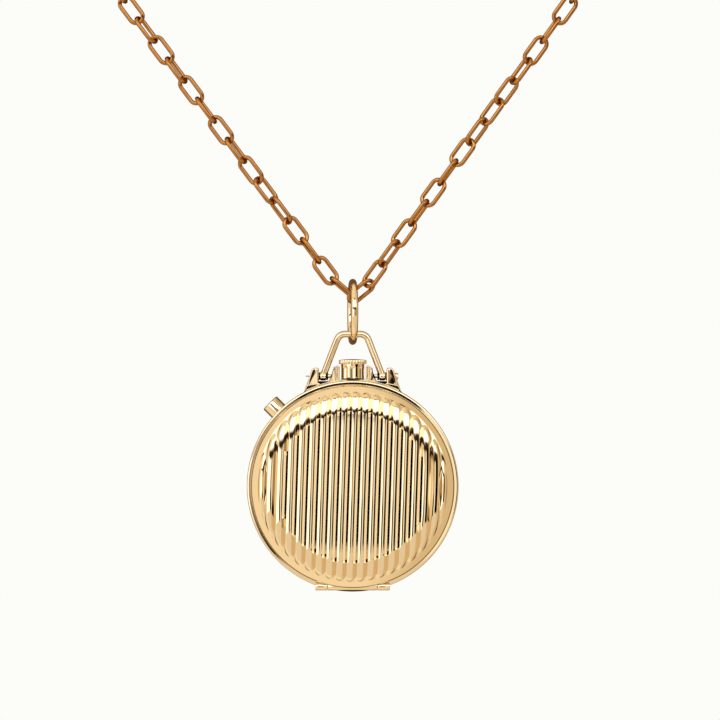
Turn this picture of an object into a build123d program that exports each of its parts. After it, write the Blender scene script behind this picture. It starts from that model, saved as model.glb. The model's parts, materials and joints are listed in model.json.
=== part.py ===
from build123d import *

import os
from math import asin, atan2, cos, degrees, hypot, radians, sin, sqrt

os.makedirs("parts", exist_ok=True)

# A hunter-case pendant watch. Millimetres. The watch hangs in the XZ plane with its front lid
# toward -Y. The origin lies between the two upper ends of the chain, where a neck holds it.
# Case pieces are drawn in the case's own plane: x to the right, y up, and heights h toward
# the viewer, all measured from the middle of the case.

# Case middle
case_radius = 16.0
band_half = 1.9
band_rounding = 0.3
case_wall = 1.9
flange_reach = 1.1
flange_back = 0.7
dial_back = 1.2
dial_ledge = 0.5
case_bore = case_radius - case_wall
flange_bore = case_bore - flange_reach
dial_seat_radius = case_bore - dial_ledge

# Clearances
running_gap = 0.05
lid_gap = 0.1
loose_gap = 0.15
overrun = 3.0

# Lids: reeded field over a rounded shoulder
lid_inset = 0.64
lid_height = 5.2
lid_wall = 0.5
field_radius = 133.0
field_inset = 0.5875
rib_count = 19
rib_depth = 0.42
field_wall = 0.35
field_margin = 1.2
shoulder_width = 5.0
shoulder_height = 2.3
shoulder_rise = 2.95
snap_depth = 0.15
thumb_lip_half = 1.6
thumb_lip_reach = 0.35
thumb_lip_height = 0.35
lid_radius = case_radius - lid_inset
shoulder_centre = lid_radius - shoulder_width
field_edge = lid_radius - field_inset
rib_pitch = 2 * field_edge / rib_count

# Lid hinges at six o'clock
hinge_inset = 0.88
hinge_radius = 0.6
hinge_pin_radius = 0.25
lid_knuckle_half = 3.75
case_knuckle_half = 5.6
hinge_step = 0.15
lid_hinge_gap = 0.03
hinge_y = hinge_inset - case_radius

# Crown, stem and tube, all on the vertical axis at h = 0
crown_gap = 0.3
crown_radius = 1.75
crown_barrel_length = 2.12
crown_rim_radius = 2.1
crown_rim_length = 0.66
crown_dome = 0.12
crown_flutes = 9
flute_stop = 0.71
flute_radius = 0.62
flute_depth = 0.27
crown_knurls = 26
knurl_radius = 0.13
crown_recess_radius = 0.95
tube_radius = 0.8
tube_bore = 0.45
tube_stand = 0.7
stem_radius = 0.4
stem_square = 0.55
stem_pilot_radius = 0.2
stem_groove_radius = 0.25
stem_groove_length = 0.5
stem_inner_end = 7.0
pilot_end = 7.9
square_end = 9.5
setting_y = 10.95
crown_thread_length = 1.0
crown_base = case_radius + crown_gap
tube_inner_end = case_bore + loose_gap
tube_outer_end = crown_base + tube_stand

# Pusher at half past ten
pusher_angle = 135.0
pusher_radius = 1.42
pusher_stand = 1.8
pusher_seat_depth = 1.15
pusher_room = 0.27
pusher_cup_radius = 1.1
pusher_cup_depth = 1.2
pusher_shaft_radius = 0.5
pusher_clip_radius = 0.75
pusher_clip_length = 0.15
pusher_travel = 0.28
pusher_edge = 0.2
spring_radius = 0.8
spring_wire = 0.12
spring_turns = 4
pusher_outer_end = case_radius + pusher_stand
pusher_seat = case_radius - pusher_seat_depth
pusher_head_base = pusher_seat + pusher_travel + pusher_room
pusher_inner_end = case_bore - pusher_clip_length - running_gap

# Lugs on their pad
pad_rise = 0.15
pad_half_angle = 26.0
pad_half_width = 1.25
lug_half_width = 1.1
outer_lug_in = 5.15
outer_lug_out = 6.05
outer_lug_foot = 7.4
outer_lug_height = 1.87
inner_lug_in = 2.0
inner_lug_out = 3.15
inner_lug_foot = 3.75
inner_lug_height = 2.2
lug_rounding = 0.35
bow_pin_height = 0.6
bow_pin_radius = 0.3
screw_seat = 6.3
screw_head_radius = 0.5
screw_head_length = 0.6
screw_slot = 0.16
screw_inner_end = 2.4
pad_radius = case_radius + pad_rise
lug_crown_y = case_radius + lug_half_width
outer_lug_top = case_radius + outer_lug_height
inner_lug_top = case_radius + inner_lug_height
bow_pin_y = case_radius + bow_pin_height

# Bow
bow_pin_x = 4.5
bow_height = 6.4
bow_bar_half = 2.05
bow_wire_radius = 0.5
bow_corner_radius = 1.3
bow_eye_radius = 0.66
bow_eye_width = 0.94

# Bail ring
ring_outer_radius = 5.02
ring_wire_radius = 0.55
ring_turn = 4.0
bow_bar_y = bow_pin_y + bow_height
ring_hole_radius = ring_outer_radius - 2 * ring_wire_radius
ring_centre_y = bow_bar_y - bow_wire_radius - running_gap + ring_hole_radius

# Chain of oval links
link_length = 5.1
link_width = 2.7
link_wire = 0.64
link_slack = 0.02
strand_links = 16
left_tilt = 126.7
right_tilt = 54.2
left_start_x = -4.12
left_start_rise = 6.27
right_start_x = 3.36
right_start_rise = 5.8
left_rolls = (16, -80, 20, -60, 45, -25, 70, -20, 80, -20, 70, 0, 65, 0, 75, -10)
right_rolls = (-34.6, 60, -25, 75, -20, 80, -20, 50, -40, 35, -60, 20, -80, 15, 85, 5)
left_low_x = -1.503
left_low_rise = 3.673
left_low_h = 0.162
left_low_turn = (139.3, -81.6)
right_low_x = 1.271
right_low_rise = 3.132
right_low_h = -0.301
right_low_turn = (39.0, 42.8)
left_start = (left_start_x, ring_centre_y + left_start_rise)
right_start = (right_start_x, ring_centre_y + right_start_rise)
left_low_link = (left_low_x, ring_centre_y + left_low_rise, left_low_h, *left_low_turn)
right_low_link = (right_low_x, ring_centre_y + right_low_rise, right_low_h, *right_low_turn)
clasp_radius = 2.3
clasp_tube_radius = 0.62
clasp_bore_radius = 0.42
clasp_mouth_from = 100.0
clasp_mouth_to = 150.0
bolt_radius = 0.37
bolt_length_angle = 130.0
bolt_nub_radius = 0.3
bolt_nub_angle = 15.0
bolt_nub_length = 0.9
bolt_entry = 8.0
bolt_travel = 58.0
bolt_play = 2.0
nub_play = 8.0
end_ring_radius = 1.7
end_ring_wire_radius = 0.35

# Bezel and crystal
bezel_room = 0.46
bezel_wall = 1.0
bezel_edge = 0.4
bezel_rise = 1.1
bezel_slope = 0.5
bezel_lip = 0.5
bezel_lip_thickness = 0.2
bezel_notch_depth = 0.45
crystal_edge_low = 0.08
crystal_edge = 0.65
crystal_wall = 0.55
crystal_top = 3.8
bezel_radius = lid_radius - lid_wall - bezel_room
bezel_notch_radius = bezel_radius - bezel_notch_depth
crystal_radius = bezel_radius - bezel_wall

# Dial and hands
dial_thickness = 0.4
dial_hole = 0.75
seconds_sink_radius = 3.1
seconds_sink_depth = 0.1
seconds_hole = 0.3
minute_track_inset = 0.15
minute_dot_radius = 0.11
seconds_dot_circle = 2.7
seconds_dot_radius = 0.09
baton_gap = 0.45
baton_length = 2.6
baton_width = 0.5
marker_height = 0.03
dial_radius = dial_seat_radius - running_gap
minute_track_radius = crystal_radius - bezel_lip - minute_track_inset
baton_outer = minute_track_radius - baton_gap
baton_inner = baton_outer - baton_length
hour_hand_level = 1.94
minute_hand_level = 2.2
seconds_hand_level = 1.7
hand_thickness = 0.12
hour_hand_length = 6.6
minute_hand_length = 10.2
seconds_hand_length = 2.5
hour_hand_angle = 145.0
minute_hand_angle = 30.0
seconds_hand_angle = -70.0
hand_boss_radius = 0.8
hand_leaf_width = 1.0
hand_root_width = 0.3
hand_tip_width = 0.08
hand_swell_share = 0.55
seconds_boss_radius = 0.45
seconds_blade_width = 0.22
minute_boss_radius = 0.6

# Movement frame: plate, bridges and the ring round them
movement_room = 1.25
ring_ledge = 0.2
ring_flat_depth = 0.25
plate_back = -0.6
bridge_low = -1.8
bridge_thickness = 0.6
bridge_inset = 0.55
bridge_split = 1.3
bridge_split_gap = 0.2
jewel_radius = 0.4
jewel_thickness = 0.25
pivot_radius = 0.1
pivot_hole = 0.13
pivot_length = 0.35
frame_screw_radius = 0.3
frame_screw_head = 0.55
frame_screw_head_height = 0.25
frame_screw_slot = 0.12
frame_screw_bite = 0.5
bridge_foot_width = 1.15
barrel_foot_from = 18.0
barrel_foot_to = 76.0
left_foot_in = -2.3
left_foot_out = -4.6
left_foot_low = 6.6
train_foot_x = -7.1
low_foot_y = -9.7
low_foot_x = 0.3
balance_clearance = 3.9
cock_gap = 0.15
bridge_screw_inset = 0.58
bridge_screw_angles = (24, 70)
bridge_screws_at = ((-3.4, 8.0), (-8.9, 2.5), (-8.9, -3.5), (-1.5, -10.35))
movement_radius = flange_bore - movement_room
movement_ring_outer = flange_bore + ring_ledge
movement_ring_flat = movement_ring_outer - ring_flat_depth
bridge_radius = movement_radius - bridge_inset
foot_inner = bridge_radius - bridge_foot_width
bridge_screw_circle = bridge_radius - bridge_screw_inset

# Going train: teeth, modules and levels
barrel_teeth = 78
barrel_module = 0.115
centre_leaves = 12
centre_teeth = 80
centre_module = 0.105
third_leaves = 10
third_teeth = 75
third_module = 0.095
fourth_leaves = 10
fourth_teeth = 70
fourth_module = 0.09
escape_leaves = 7
escape_teeth = 15
escape_radius = 1.85
escape_root_radius = 1.5
escape_lean = 9.0
escape_tip_width = 2.0
escape_rim = 0.3
escape_hub = 0.45
escape_arm = 0.25
wheel_thickness = 0.15
wheel_rim = 0.45
wheel_hub = 0.7
wheel_arm = 0.35
tooth_tip_share = 0.9
tooth_root_share = 1.2
tooth_base_share = 0.3
tooth_top_share = 0.12
level_low = -0.87
level_mid = -1.27
level_high = -1.67
pinion_overlap = 0.08
arbor_radius = 0.2
centre_arbor_radius = 0.28
centre_post_radius = 0.2
barrel_angle = 45.0
barrel_front = -0.3
barrel_rear = -1.2
barrel_drum_radius = 4.2
barrel_wall = 0.25
barrel_floor = 0.2
barrel_tooth_height = 0.3
barrel_pocket_margin = 0.12
barrel_cover_thickness = 0.15
barrel_cover_radius = 3.9
barrel_eye = 0.55
barrel_square = 0.6
barrel_pivot_radius = 0.3
barrel_rear_radius = 0.42
barrel_pivot_length = 0.4
barrel_pocket_gap = 0.05
arbor_hub_radius = 0.9
mainspring_turns = 7
mainspring_pitch = 0.36
mainspring_thickness = 0.15
fourth_y = -6.3
escape_angle = -35.0

# Escapement and balance
balance_x = 6.6
balance_y = -4.0
balance_radius = 2.9
balance_rim = 0.4
balance_low = -0.95
balance_high = -1.3
staff_radius = 0.22
roller_radius = 0.45
roller_gap = 0.12
roller_rear = -0.9
collet_radius = 0.4
balance_hub = 0.6
balance_arm = 0.45
front_end = -0.65
rear_end = -2.12
hairspring_turns = 8
hairspring_inner = 0.5
hairspring_pitch = 0.17
hairspring_thickness = 0.06
hairspring_low = -1.6
hairspring_height = 0.12
pallet_reach = 2.19
fork_width = 0.3
pallet_arm = 1.05
pallet_width = 0.25
pallet_stub = 0.5
pallet_hub = 0.35
pallet_arbor = 0.12
pallet_cock_low = -0.95
pallet_cock_thickness = 0.25
pallet_foot_reach = 1.95
pallet_foot_radius = 0.6
cock_foot_x = 9.6
cock_foot_y = 0.7
cock_foot_radius = 1.2
cock_end_radius = 0.95

# Winding and setting work
crown_wheel_teeth = 36
ratchet_teeth = 54
crown_wheel_y = 8.2
winding_top_gap = 0.05
winding_wheel_thickness = 0.25
skirt_outer = 1.95
skirt_inner = 1.5
skirt_start = -1.3
post_radius = 1.38
post_foot_y = 7.9
crown_screw_head = 0.9
winding_pinion_radius = 1.2
skirt_notches = 24
skirt_notch = 0.25
winding_pinion_teeth = 14
winding_pinion_low = 9.6
winding_pinion_high = 10.6
sliding_pinion_radius = 0.8
sliding_pinion_low = 8.1
sliding_pinion_high = 9.45
sliding_groove_radius = 0.55
sliding_groove_length = 0.3
pocket_half_width = 1.35
ratchet_screw_radius = 0.175
click_radius = 0.7
click_x = 7.85
click_y = 5.9
click_nose = 0.85
click_spring_width = 0.15
click_spring_reach = 1.0
click_spring_from = 20.0
click_spring_to = 200.0
click_nose_width = 0.3
click_screw_head = 0.45
setting_pivot_x = 2.0
setting_lever_low = 0.55
setting_lever_thickness = 0.25
setting_pin_radius = 0.15
setting_lever_width = 0.56
setting_pocket_low = 0.45
setting_pocket_margin = 0.2
setting_screw_radius = 0.25
setting_screw_head = 0.4

# Motion work under the dial
motion_floor = 0.35
motion_module = 0.1
cannon_leaves = 12
minute_teeth = 36
minute_leaves = 10
hour_teeth = 40
minute_wheel_angle = 45.0
cannon_low = 0.42
cannon_pinion_height = 0.25
cannon_pipe_radius = 0.33
cannon_pipe_top = 2.42
minute_wheel_low = 0.45
minute_pinion_low = 0.6
motion_wheel_thickness = 0.18
minute_stud_top = 1.0
hour_wheel_low = 0.72
hour_pipe_radius = 0.62
hour_pipe_bore = 0.38
hour_pipe_top = 2.1
minute_stud_radius = 0.2

# Springs and catch in the channel round the movement
channel_inner_gap = 0.08
channel_outer_gap = 0.06
channel_spring_shift = 0.17
channel_spring_width = 0.3
channel_height = 1.1
catch_from = 98.0
catch_to = 149.5
catch_nose_angle = 147.0
catch_nose_half = 2.5
catch_nose_play = 1.2
catch_nose_gap = 0.08
catch_nose_wall = 0.15
catch_lip = 0.2
catch_lip_height = 0.2
catch_top = 2.3
lid_spring_from = 205.0
lid_spring_to = 250.0
channel_pad_angle = 5.0
channel_screw_radius = 0.2
channel_screw_head = 0.36
channel_screw_depth = 0.3
clamp_radius = 0.9
clamp_thickness = 0.22
clamp_angles = (60, 180, 300)
channel_high = flange_back - running_gap
channel_low = channel_high - channel_height
channel_pad_inner = movement_ring_outer + channel_inner_gap
channel_pad_outer = case_bore - channel_outer_gap
channel_spring_inner = channel_pad_inner + channel_spring_shift
channel_spring_outer = channel_spring_inner + channel_spring_width
catch_nose_outer = lid_radius - lid_wall - catch_nose_gap
clamp_ring_radius = movement_ring_outer - clamp_radius


link_inner = link_length - 2 * link_wire
link_pitch = link_inner - link_slack
strand_rise = strand_links * link_pitch
case_drop = left_start[1] + strand_rise * sin(radians(left_tilt))

CASE = Plane(origin=(0, 0, -case_drop), x_dir=(1, 0, 0), z_dir=(0, -1, 0))
PROFILE = Plane(origin=(0, 0, -case_drop), x_dir=(1, 0, 0), z_dir=(0, 0, -1))
SIDE = Plane(origin=(0, 0, -case_drop), x_dir=(0, -1, 0), z_dir=(-1, 0, 0))
CASE_AXIS = Axis((0, 0, -case_drop), (0, 1, 0))


def spot(x, y, h=0):
    """A point of the case plane as a point of the whole model."""
    return Vector(x, -h, y - case_drop)


def stem_plane(y):
    """A plane square to the stem, at height y of the case."""
    return Plane(origin=spot(0, y), x_dir=(1, 0, 0), z_dir=(0, 0, 1))


def pusher_plane(distance):
    """A plane square to the pusher, at a distance from the middle of the case."""
    turn = radians(pusher_angle)
    outward = (cos(turn), 0, sin(turn))
    return Plane(origin=spot(distance * cos(turn), distance * sin(turn)), x_dir=(0, -1, 0), z_dir=outward)


def polar(radius, angle, centre=(0, 0)):
    """The point of the case plane at a radius and an angle from a centre."""
    return (centre[0] + radius * cos(radians(angle)), centre[1] + radius * sin(radians(angle)))


def disc(low, high, radius, at=(0, 0), mode=Mode.ADD):
    """A round slice of the open part, from height low to height high of the case."""
    with BuildSketch(CASE.offset(low)) as outline:
        with Locations(at):
            Circle(radius)
    extrude(outline.sketch, amount=high - low, mode=mode)


def tube(low, high, outer, inner, at=(0, 0)):
    """A round slice with a round hole."""
    with BuildSketch(CASE.offset(low)) as outline:
        with Locations(at):
            Circle(outer)
            Circle(inner, mode=Mode.SUBTRACT)
    extrude(outline.sketch, amount=high - low)


def bar_x(x_from, x_to, radius, y, h=0, mode=Mode.ADD):
    """A round bar along X at height y of the case."""
    with BuildSketch(SIDE.offset(-x_from)) as outline:
        with Locations((h, y)):
            Circle(radius)
    extrude(outline.sketch, amount=x_from - x_to, mode=mode)


def bar_y(y_from, y_to, radius, mode=Mode.ADD):
    """A round bar on the stem's axis."""
    with BuildSketch(stem_plane(y_from)) as outline:
        Circle(radius)
    extrude(outline.sketch, amount=y_to - y_from, mode=mode)


def bar_pusher(start, end, radius, mode=Mode.ADD):
    """A round bar on the pusher's axis."""
    with BuildSketch(pusher_plane(start)) as outline:
        Circle(radius)
    extrude(outline.sketch, amount=end - start, mode=mode)


def block(x_from, x_to, y_from, y_to, low, high, mode=Mode.ADD):
    """A box of the case plane between two heights."""
    with BuildSketch(CASE.offset(low)) as outline:
        with Locations(((x_from + x_to) / 2, (y_from + y_to) / 2)):
            Rectangle(x_to - x_from, y_to - y_from)
    extrude(outline.sketch, amount=high - low, mode=mode)


def sector(low, high, outer, inner, start, end, mode=Mode.ADD, plane=CASE):
    """Part of a flat ring round the case's axis, or another plane's, between two angles."""
    with BuildSketch(plane.offset(low)) as outline:
        with BuildLine():
            far = CenterArc((0, 0), outer, start, end - start)
            near = CenterArc((0, 0), inner, start, end - start)
            Line(far @ 0, near @ 0)
            Line(far @ 1, near @ 1)
        make_face()
    extrude(outline.sketch, amount=high - low, mode=mode)


def gear_outline(teeth, module, phase=0):
    """Outline points of a cut wheel: straight flanks, with room left at tip and root."""
    tip = module * (teeth / 2 + tooth_tip_share)
    root = module * (teeth / 2 - tooth_root_share)
    corners = (
        (root, -tooth_base_share),
        (tip, -tooth_top_share),
        (tip, tooth_top_share),
        (root, tooth_base_share),
    )
    points = []
    for tooth in range(teeth):
        for radius, share in corners:
            points.append(polar(radius, phase + (tooth + share) * 360 / teeth))
    return points


def gear(low, high, teeth, module, at=(0, 0), phase=0):
    """A cut wheel in the case plane."""
    with BuildSketch(CASE.offset(low)) as outline:
        with Locations(at):
            Polygon(*gear_outline(teeth, module, phase), align=None)
    extrude(outline.sketch, amount=high - low)


def spokes(low, high, rim_inner, at=(0, 0)):
    """Cuts the four windows between a wheel's arms."""
    with BuildSketch(CASE.offset(low)) as outline:
        with Locations(at):
            Circle(rim_inner)
            Circle(wheel_hub, mode=Mode.SUBTRACT)
            Rectangle(2 * rim_inner, wheel_arm, mode=Mode.SUBTRACT)
            Rectangle(wheel_arm, 2 * rim_inner, mode=Mode.SUBTRACT)
    extrude(outline.sketch, amount=high - low, mode=Mode.SUBTRACT)


def spiral(low, high, inner, pitch, thickness, turns, at=(0, 0)):
    """A flat coil of half circles, each a quarter pitch off centre, as one strip."""
    with BuildSketch(CASE.offset(low)) as outline:
        with BuildLine():
            for half in range(2 * turns):
                side = pitch / 4 if half % 2 else -pitch / 4
                reach = inner + half * pitch / 2
                for edge in (reach, reach + thickness):
                    CenterArc((at[0] + side, at[1]), edge, 180 * (half % 2), 180)
            last = inner + (2 * turns - 1) * pitch / 2
            start = at[0] - pitch / 4 + inner
            finish = at[0] + pitch / 4 + last
            Line((start, at[1]), (start + thickness, at[1]))
            Line((finish, at[1]), (finish + thickness, at[1]))
        make_face()
    extrude(outline.sketch, amount=high - low)


def slotted_screw(top, head, at, shaft_end, shaft=frame_screw_radius, head_radius=frame_screw_head):
    """A cheese-head screw whose head faces the back; top is the head's outer face."""
    disc(top, top + head, head_radius, at)
    disc(top + head, shaft_end, shaft, at)
    half = frame_screw_slot / 2
    block(at[0] - head_radius, at[0] + head_radius, at[1] - half, at[1] + half,
          top, top + head / 2, mode=Mode.SUBTRACT)


def finish(piece, name):
    """Labels a finished piece and writes it."""
    piece.part.label = name
    export_step(piece.part, f"parts/{name}.step")


# Places of the train, worked out from the wheels that mesh
barrel_at = polar(barrel_module * (barrel_teeth + centre_leaves) / 2, barrel_angle)
centre_third = centre_module * (centre_teeth + third_leaves) / 2
third_fourth = third_module * (third_teeth + fourth_leaves) / 2
fourth_escape = fourth_module * (fourth_teeth + escape_leaves) / 2
fourth_at = (0, fourth_y)
third_y = (fourth_y**2 + centre_third**2 - third_fourth**2) / (2 * fourth_y)
third_at = (-sqrt(centre_third**2 - third_y**2), third_y)
escape_at = polar(fourth_escape, escape_angle, fourth_at)
balance_at = (balance_x, balance_y)
escape_line = degrees(atan2(balance_y - escape_at[1], balance_x - escape_at[0]))
pallet_at = polar(pallet_reach, escape_line, escape_at)
pallet_foot_at = polar(pallet_foot_reach, escape_line - 90, pallet_at)
winding_distance = hypot(barrel_at[0], barrel_at[1] - crown_wheel_y)
winding_module = 2 * winding_distance / (crown_wheel_teeth + ratchet_teeth)
minute_distance = motion_module * (cannon_leaves + minute_teeth) / 2
minute_at = polar(minute_distance, minute_wheel_angle)
hour_module = 2 * minute_distance / (minute_leaves + hour_teeth)
crown_wheel_at = (0, crown_wheel_y)
cock_foot_at = (cock_foot_x, cock_foot_y)
channel_screw_circle = (channel_pad_inner + channel_pad_outer) / 2
channel_screw_places = [
    polar(channel_screw_circle, start + channel_pad_angle / 2) for start in (catch_from, lid_spring_from)
]
bridge_high = bridge_low - bridge_thickness
winding_low = bridge_high - winding_top_gap
winding_high = winding_low - winding_wheel_thickness
dial_front = dial_back + dial_thickness
plate_front = dial_back


def mesh_phase(teeth, other_teeth, angle, other_phase=0):
    """Turns a wheel so that a gap meets the other wheel's tooth on the line of centres at an angle."""
    other_step = 360 / other_teeth
    step = 360 / teeth
    lead = (angle - other_phase) % other_step / other_step
    return angle + 180 + (lead - 0.5) * step


# Case middle: the band, with its dial seat, stem and pusher holes, hinge steps and knuckles
with BuildPart() as case_middle:
    disc(-band_half, band_half, case_radius)
    rims = case_middle.edges().filter_by(GeomType.CIRCLE).filter_by(lambda e: e.radius > lid_radius)
    fillet(rims, band_rounding)
    disc(-overrun, flange_back, case_bore, mode=Mode.SUBTRACT)
    disc(0, overrun, flange_bore, mode=Mode.SUBTRACT)
    disc(dial_back, overrun, dial_seat_radius, mode=Mode.SUBTRACT)
    span = lid_knuckle_half + lid_hinge_gap
    for face in (1, -1):
        step_floor = face * (band_half - hinge_radius - hinge_step)
        step_top = face * (band_half + overrun)
        block(-span, span, -case_radius - overrun, hinge_y, min(step_floor, step_top),
              max(step_floor, step_top), mode=Mode.SUBTRACT)
        bar_x(-span, span, hinge_radius + running_gap, hinge_y, face * band_half, mode=Mode.SUBTRACT)
        for end in (1, -1):
            bar_x(end * case_knuckle_half, end * span, hinge_radius, hinge_y, face * band_half)
        bar_x(-case_knuckle_half, case_knuckle_half, hinge_pin_radius, hinge_y, face * band_half,
              mode=Mode.SUBTRACT)
    bar_y(flange_bore - overrun, case_radius + overrun, tube_radius, mode=Mode.SUBTRACT)
    bar_pusher(flange_bore - overrun, case_radius, pusher_shaft_radius + running_gap,
               mode=Mode.SUBTRACT)
    bar_pusher(pusher_seat, case_radius + overrun, pusher_radius + running_gap, mode=Mode.SUBTRACT)
    nose_span = catch_nose_half + catch_nose_play
    sector(channel_low - running_gap, band_half + overrun, catch_nose_outer + running_gap,
           flange_bore - overrun, catch_nose_angle - nose_span, catch_nose_angle + nose_span,
           mode=Mode.SUBTRACT)
    for place in channel_screw_places:
        disc(flange_back - overrun, flange_back + channel_screw_depth, channel_screw_radius, place,
             mode=Mode.SUBTRACT)
finish(case_middle, "case_middle")

# Lug plate: a raised pad soldered to the band, with two outer and two inner lugs
with BuildPart() as lug_plate:
    with BuildSketch(CASE.offset(-lug_half_width)):
        for side in (1, -1):
            with BuildLine():
                Polyline(
                    (side * outer_lug_foot, case_radius - lug_half_width - lug_rounding),
                    (side * outer_lug_out, outer_lug_top),
                    (side * outer_lug_in, outer_lug_top),
                    (side * outer_lug_in, case_radius - lug_half_width),
                    close=True,
                )
            make_face()
            with BuildLine():
                Polyline(
                    (side * inner_lug_foot, case_radius - lug_rounding),
                    (side * inner_lug_out, bow_pin_y),
                    (side * inner_lug_out, inner_lug_top),
                    (side * inner_lug_in, inner_lug_top),
                    (side * inner_lug_in, case_radius - lug_rounding),
                    close=True,
                )
            make_face()
        fillet(vertices().filter_by(lambda corner: corner.Y > bow_pin_y + lug_rounding), lug_rounding)
    extrude(amount=2 * lug_half_width)
    with BuildSketch(SIDE):
        with Locations((0, lug_crown_y)):
            Circle(lug_half_width)
        with Locations((0, (lug_crown_y + case_bore) / 2)):
            Rectangle(2 * lug_half_width, lug_crown_y - case_bore)
    extrude(amount=case_radius, both=True, mode=Mode.INTERSECT)
    sector(-pad_half_width, pad_half_width, pad_radius, case_bore, 90 - pad_half_angle,
           90 + pad_half_angle)
    disc(-overrun, overrun, case_radius, mode=Mode.SUBTRACT)
    for side in (1, -1):
        bar_x(side * screw_seat, side * (outer_lug_foot + overrun), screw_head_radius + running_gap,
              bow_pin_y, mode=Mode.SUBTRACT)
        bar_x(side * screw_inner_end, side * screw_seat, bow_pin_radius, bow_pin_y, mode=Mode.SUBTRACT)
    bar_y(case_radius - overrun, case_radius + overrun, tube_radius, mode=Mode.SUBTRACT)
finish(lug_plate, "lug_plate")

# Bow screws: the two pivots of the bow
with BuildPart() as bow_screws:
    for side in (1, -1):
        bar_x(side * screw_inner_end, side * screw_seat, bow_pin_radius, bow_pin_y)
        bar_x(side * screw_seat, side * (screw_seat + screw_head_length), screw_head_radius, bow_pin_y)
        slot_from = side * (screw_seat + screw_head_length / 2)
        slot_to = side * (screw_seat + screw_head_length + overrun)
        block(min(slot_from, slot_to), max(slot_from, slot_to), bow_pin_y - screw_slot / 2,
              bow_pin_y + screw_slot / 2, -screw_head_radius, screw_head_radius, mode=Mode.SUBTRACT)
finish(bow_screws, "bow_screws")

# Bow: a bent wire with an eye at each end
with BuildPart() as bow:
    with BuildLine(CASE) as bow_path:
        FilletPolyline(
            (-bow_pin_x, bow_pin_y),
            (-bow_bar_half, bow_bar_y),
            (bow_bar_half, bow_bar_y),
            (bow_pin_x, bow_pin_y),
            radius=bow_corner_radius,
        )
    with BuildSketch(Plane(bow_path.line @ 0, z_dir=bow_path.line % 0)):
        Circle(bow_wire_radius)
    sweep()
    for side in (1, -1):
        eye_from = side * (bow_pin_x - bow_eye_width / 2)
        eye_to = side * (bow_pin_x + bow_eye_width / 2)
        bar_x(eye_from, eye_to, bow_eye_radius, bow_pin_y)
    bar_x(-outer_lug_foot, outer_lug_foot, bow_pin_radius + running_gap, bow_pin_y, mode=Mode.SUBTRACT)
finish(bow, "bow")

# Bail ring: hangs on the chain and carries the bow
with BuildPart() as pendant_ring:
    facing = (cos(radians(ring_turn)), sin(radians(ring_turn)), 0)
    with Locations(Plane(origin=spot(0, ring_centre_y), z_dir=facing)):
        Torus(ring_outer_radius - ring_wire_radius, ring_wire_radius)
finish(pendant_ring, "pendant_ring")


# Chain: one oval link, placed along each strand with its own roll
def link_plane(x, y, h, tilt, roll):
    """The plane of a link: its long axis tilted in the case plane, its width rolled about it."""
    lean, spin = radians(tilt), radians(roll)
    along = Vector(cos(lean), 0, sin(lean))
    across = Vector(-sin(lean) * cos(spin), -sin(spin), cos(lean) * cos(spin))
    return Plane(origin=spot(x, y, h), x_dir=along, z_dir=along.cross(across))


def strand(start, tilt, rolls, low_link):
    """The planes of one strand's links, the lowest first."""
    places = [link_plane(*low_link)]
    for place, roll in enumerate(rolls):
        x, y = polar(place * link_pitch, tilt, start)
        places.append(link_plane(x, y, 0, tilt, roll))
    return places


with BuildPart(mode=Mode.PRIVATE) as link:
    straight = (link_length - link_width) / 2
    bend = (link_width - link_wire) / 2
    with BuildLine() as link_path:
        upper = Line((-straight, bend), (straight, bend))
        far_end = CenterArc((straight, 0), bend, 90, -180)
        lower = Line((straight, -bend), (-straight, -bend))
        near_end = CenterArc((-straight, 0), bend, 270, -180)
    with BuildSketch(Plane(origin=(0, bend, 0), z_dir=(1, 0, 0))):
        Circle(link_wire / 2)
    sweep(path=link_path.line)

strands = {
    "chain_left": strand(left_start, left_tilt, left_rolls, left_low_link),
    "chain_right": strand(right_start, right_tilt, right_rolls, right_low_link),
}
for strand_name, places in strands.items():
    with BuildPart() as chain:
        with Locations(*places):
            add(link.part)
    finish(chain, strand_name)


def chain_end(start, tilt, rolls, wire_radius, ring_radius):
    """The plane of a round end fitting, its wire hooked into a strand's last link."""
    reach = (strand_links - 1) * link_pitch + link_inner / 2 - wire_radius - link_slack
    x, y = polar(reach + ring_radius, tilt, start)
    return link_plane(x, y, 0, tilt, rolls[-1] + 90)


# Clasp: a spring ring on the left strand, hollow on one side for its sliding bolt
clasp_plane = chain_end(left_start, left_tilt, left_rolls, clasp_tube_radius, clasp_radius)
bolt_tip = clasp_mouth_to + bolt_entry
bolt_tail = bolt_tip - bolt_length_angle
nub_angle = bolt_tail + bolt_nub_angle


def clasp_way(angle):
    """The direction from the clasp's middle at an angle."""
    return clasp_plane.x_dir * cos(radians(angle)) + clasp_plane.y_dir * sin(radians(angle))


def clasp_arc(radius, start, end, mode=Mode.ADD):
    """A round bar bent along the clasp's ring, between two angles."""
    outward = clasp_way(start)
    square = Plane(origin=clasp_plane.origin, x_dir=outward, z_dir=outward.cross(clasp_plane.z_dir))
    with BuildSketch(square) as outline:
        with Locations((clasp_radius, 0)):
            Circle(radius)
    axis = Axis(clasp_plane.origin, clasp_plane.z_dir)
    revolve(outline.sketch, axis=axis, revolution_arc=end - start, mode=mode)


with BuildPart() as clasp_ring:
    clasp_arc(clasp_tube_radius, clasp_mouth_to, clasp_mouth_from + 360)
    clasp_arc(clasp_bore_radius, bolt_tail - bolt_travel - bolt_play, bolt_tip + bolt_play,
              mode=Mode.SUBTRACT)
    slot_half = bolt_nub_radius + running_gap
    sector(-slot_half, slot_half, clasp_radius + overrun, clasp_radius, nub_angle - bolt_travel - nub_play,
           nub_angle + nub_play, mode=Mode.SUBTRACT, plane=clasp_plane)
finish(clasp_ring, "clasp_ring")

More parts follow.
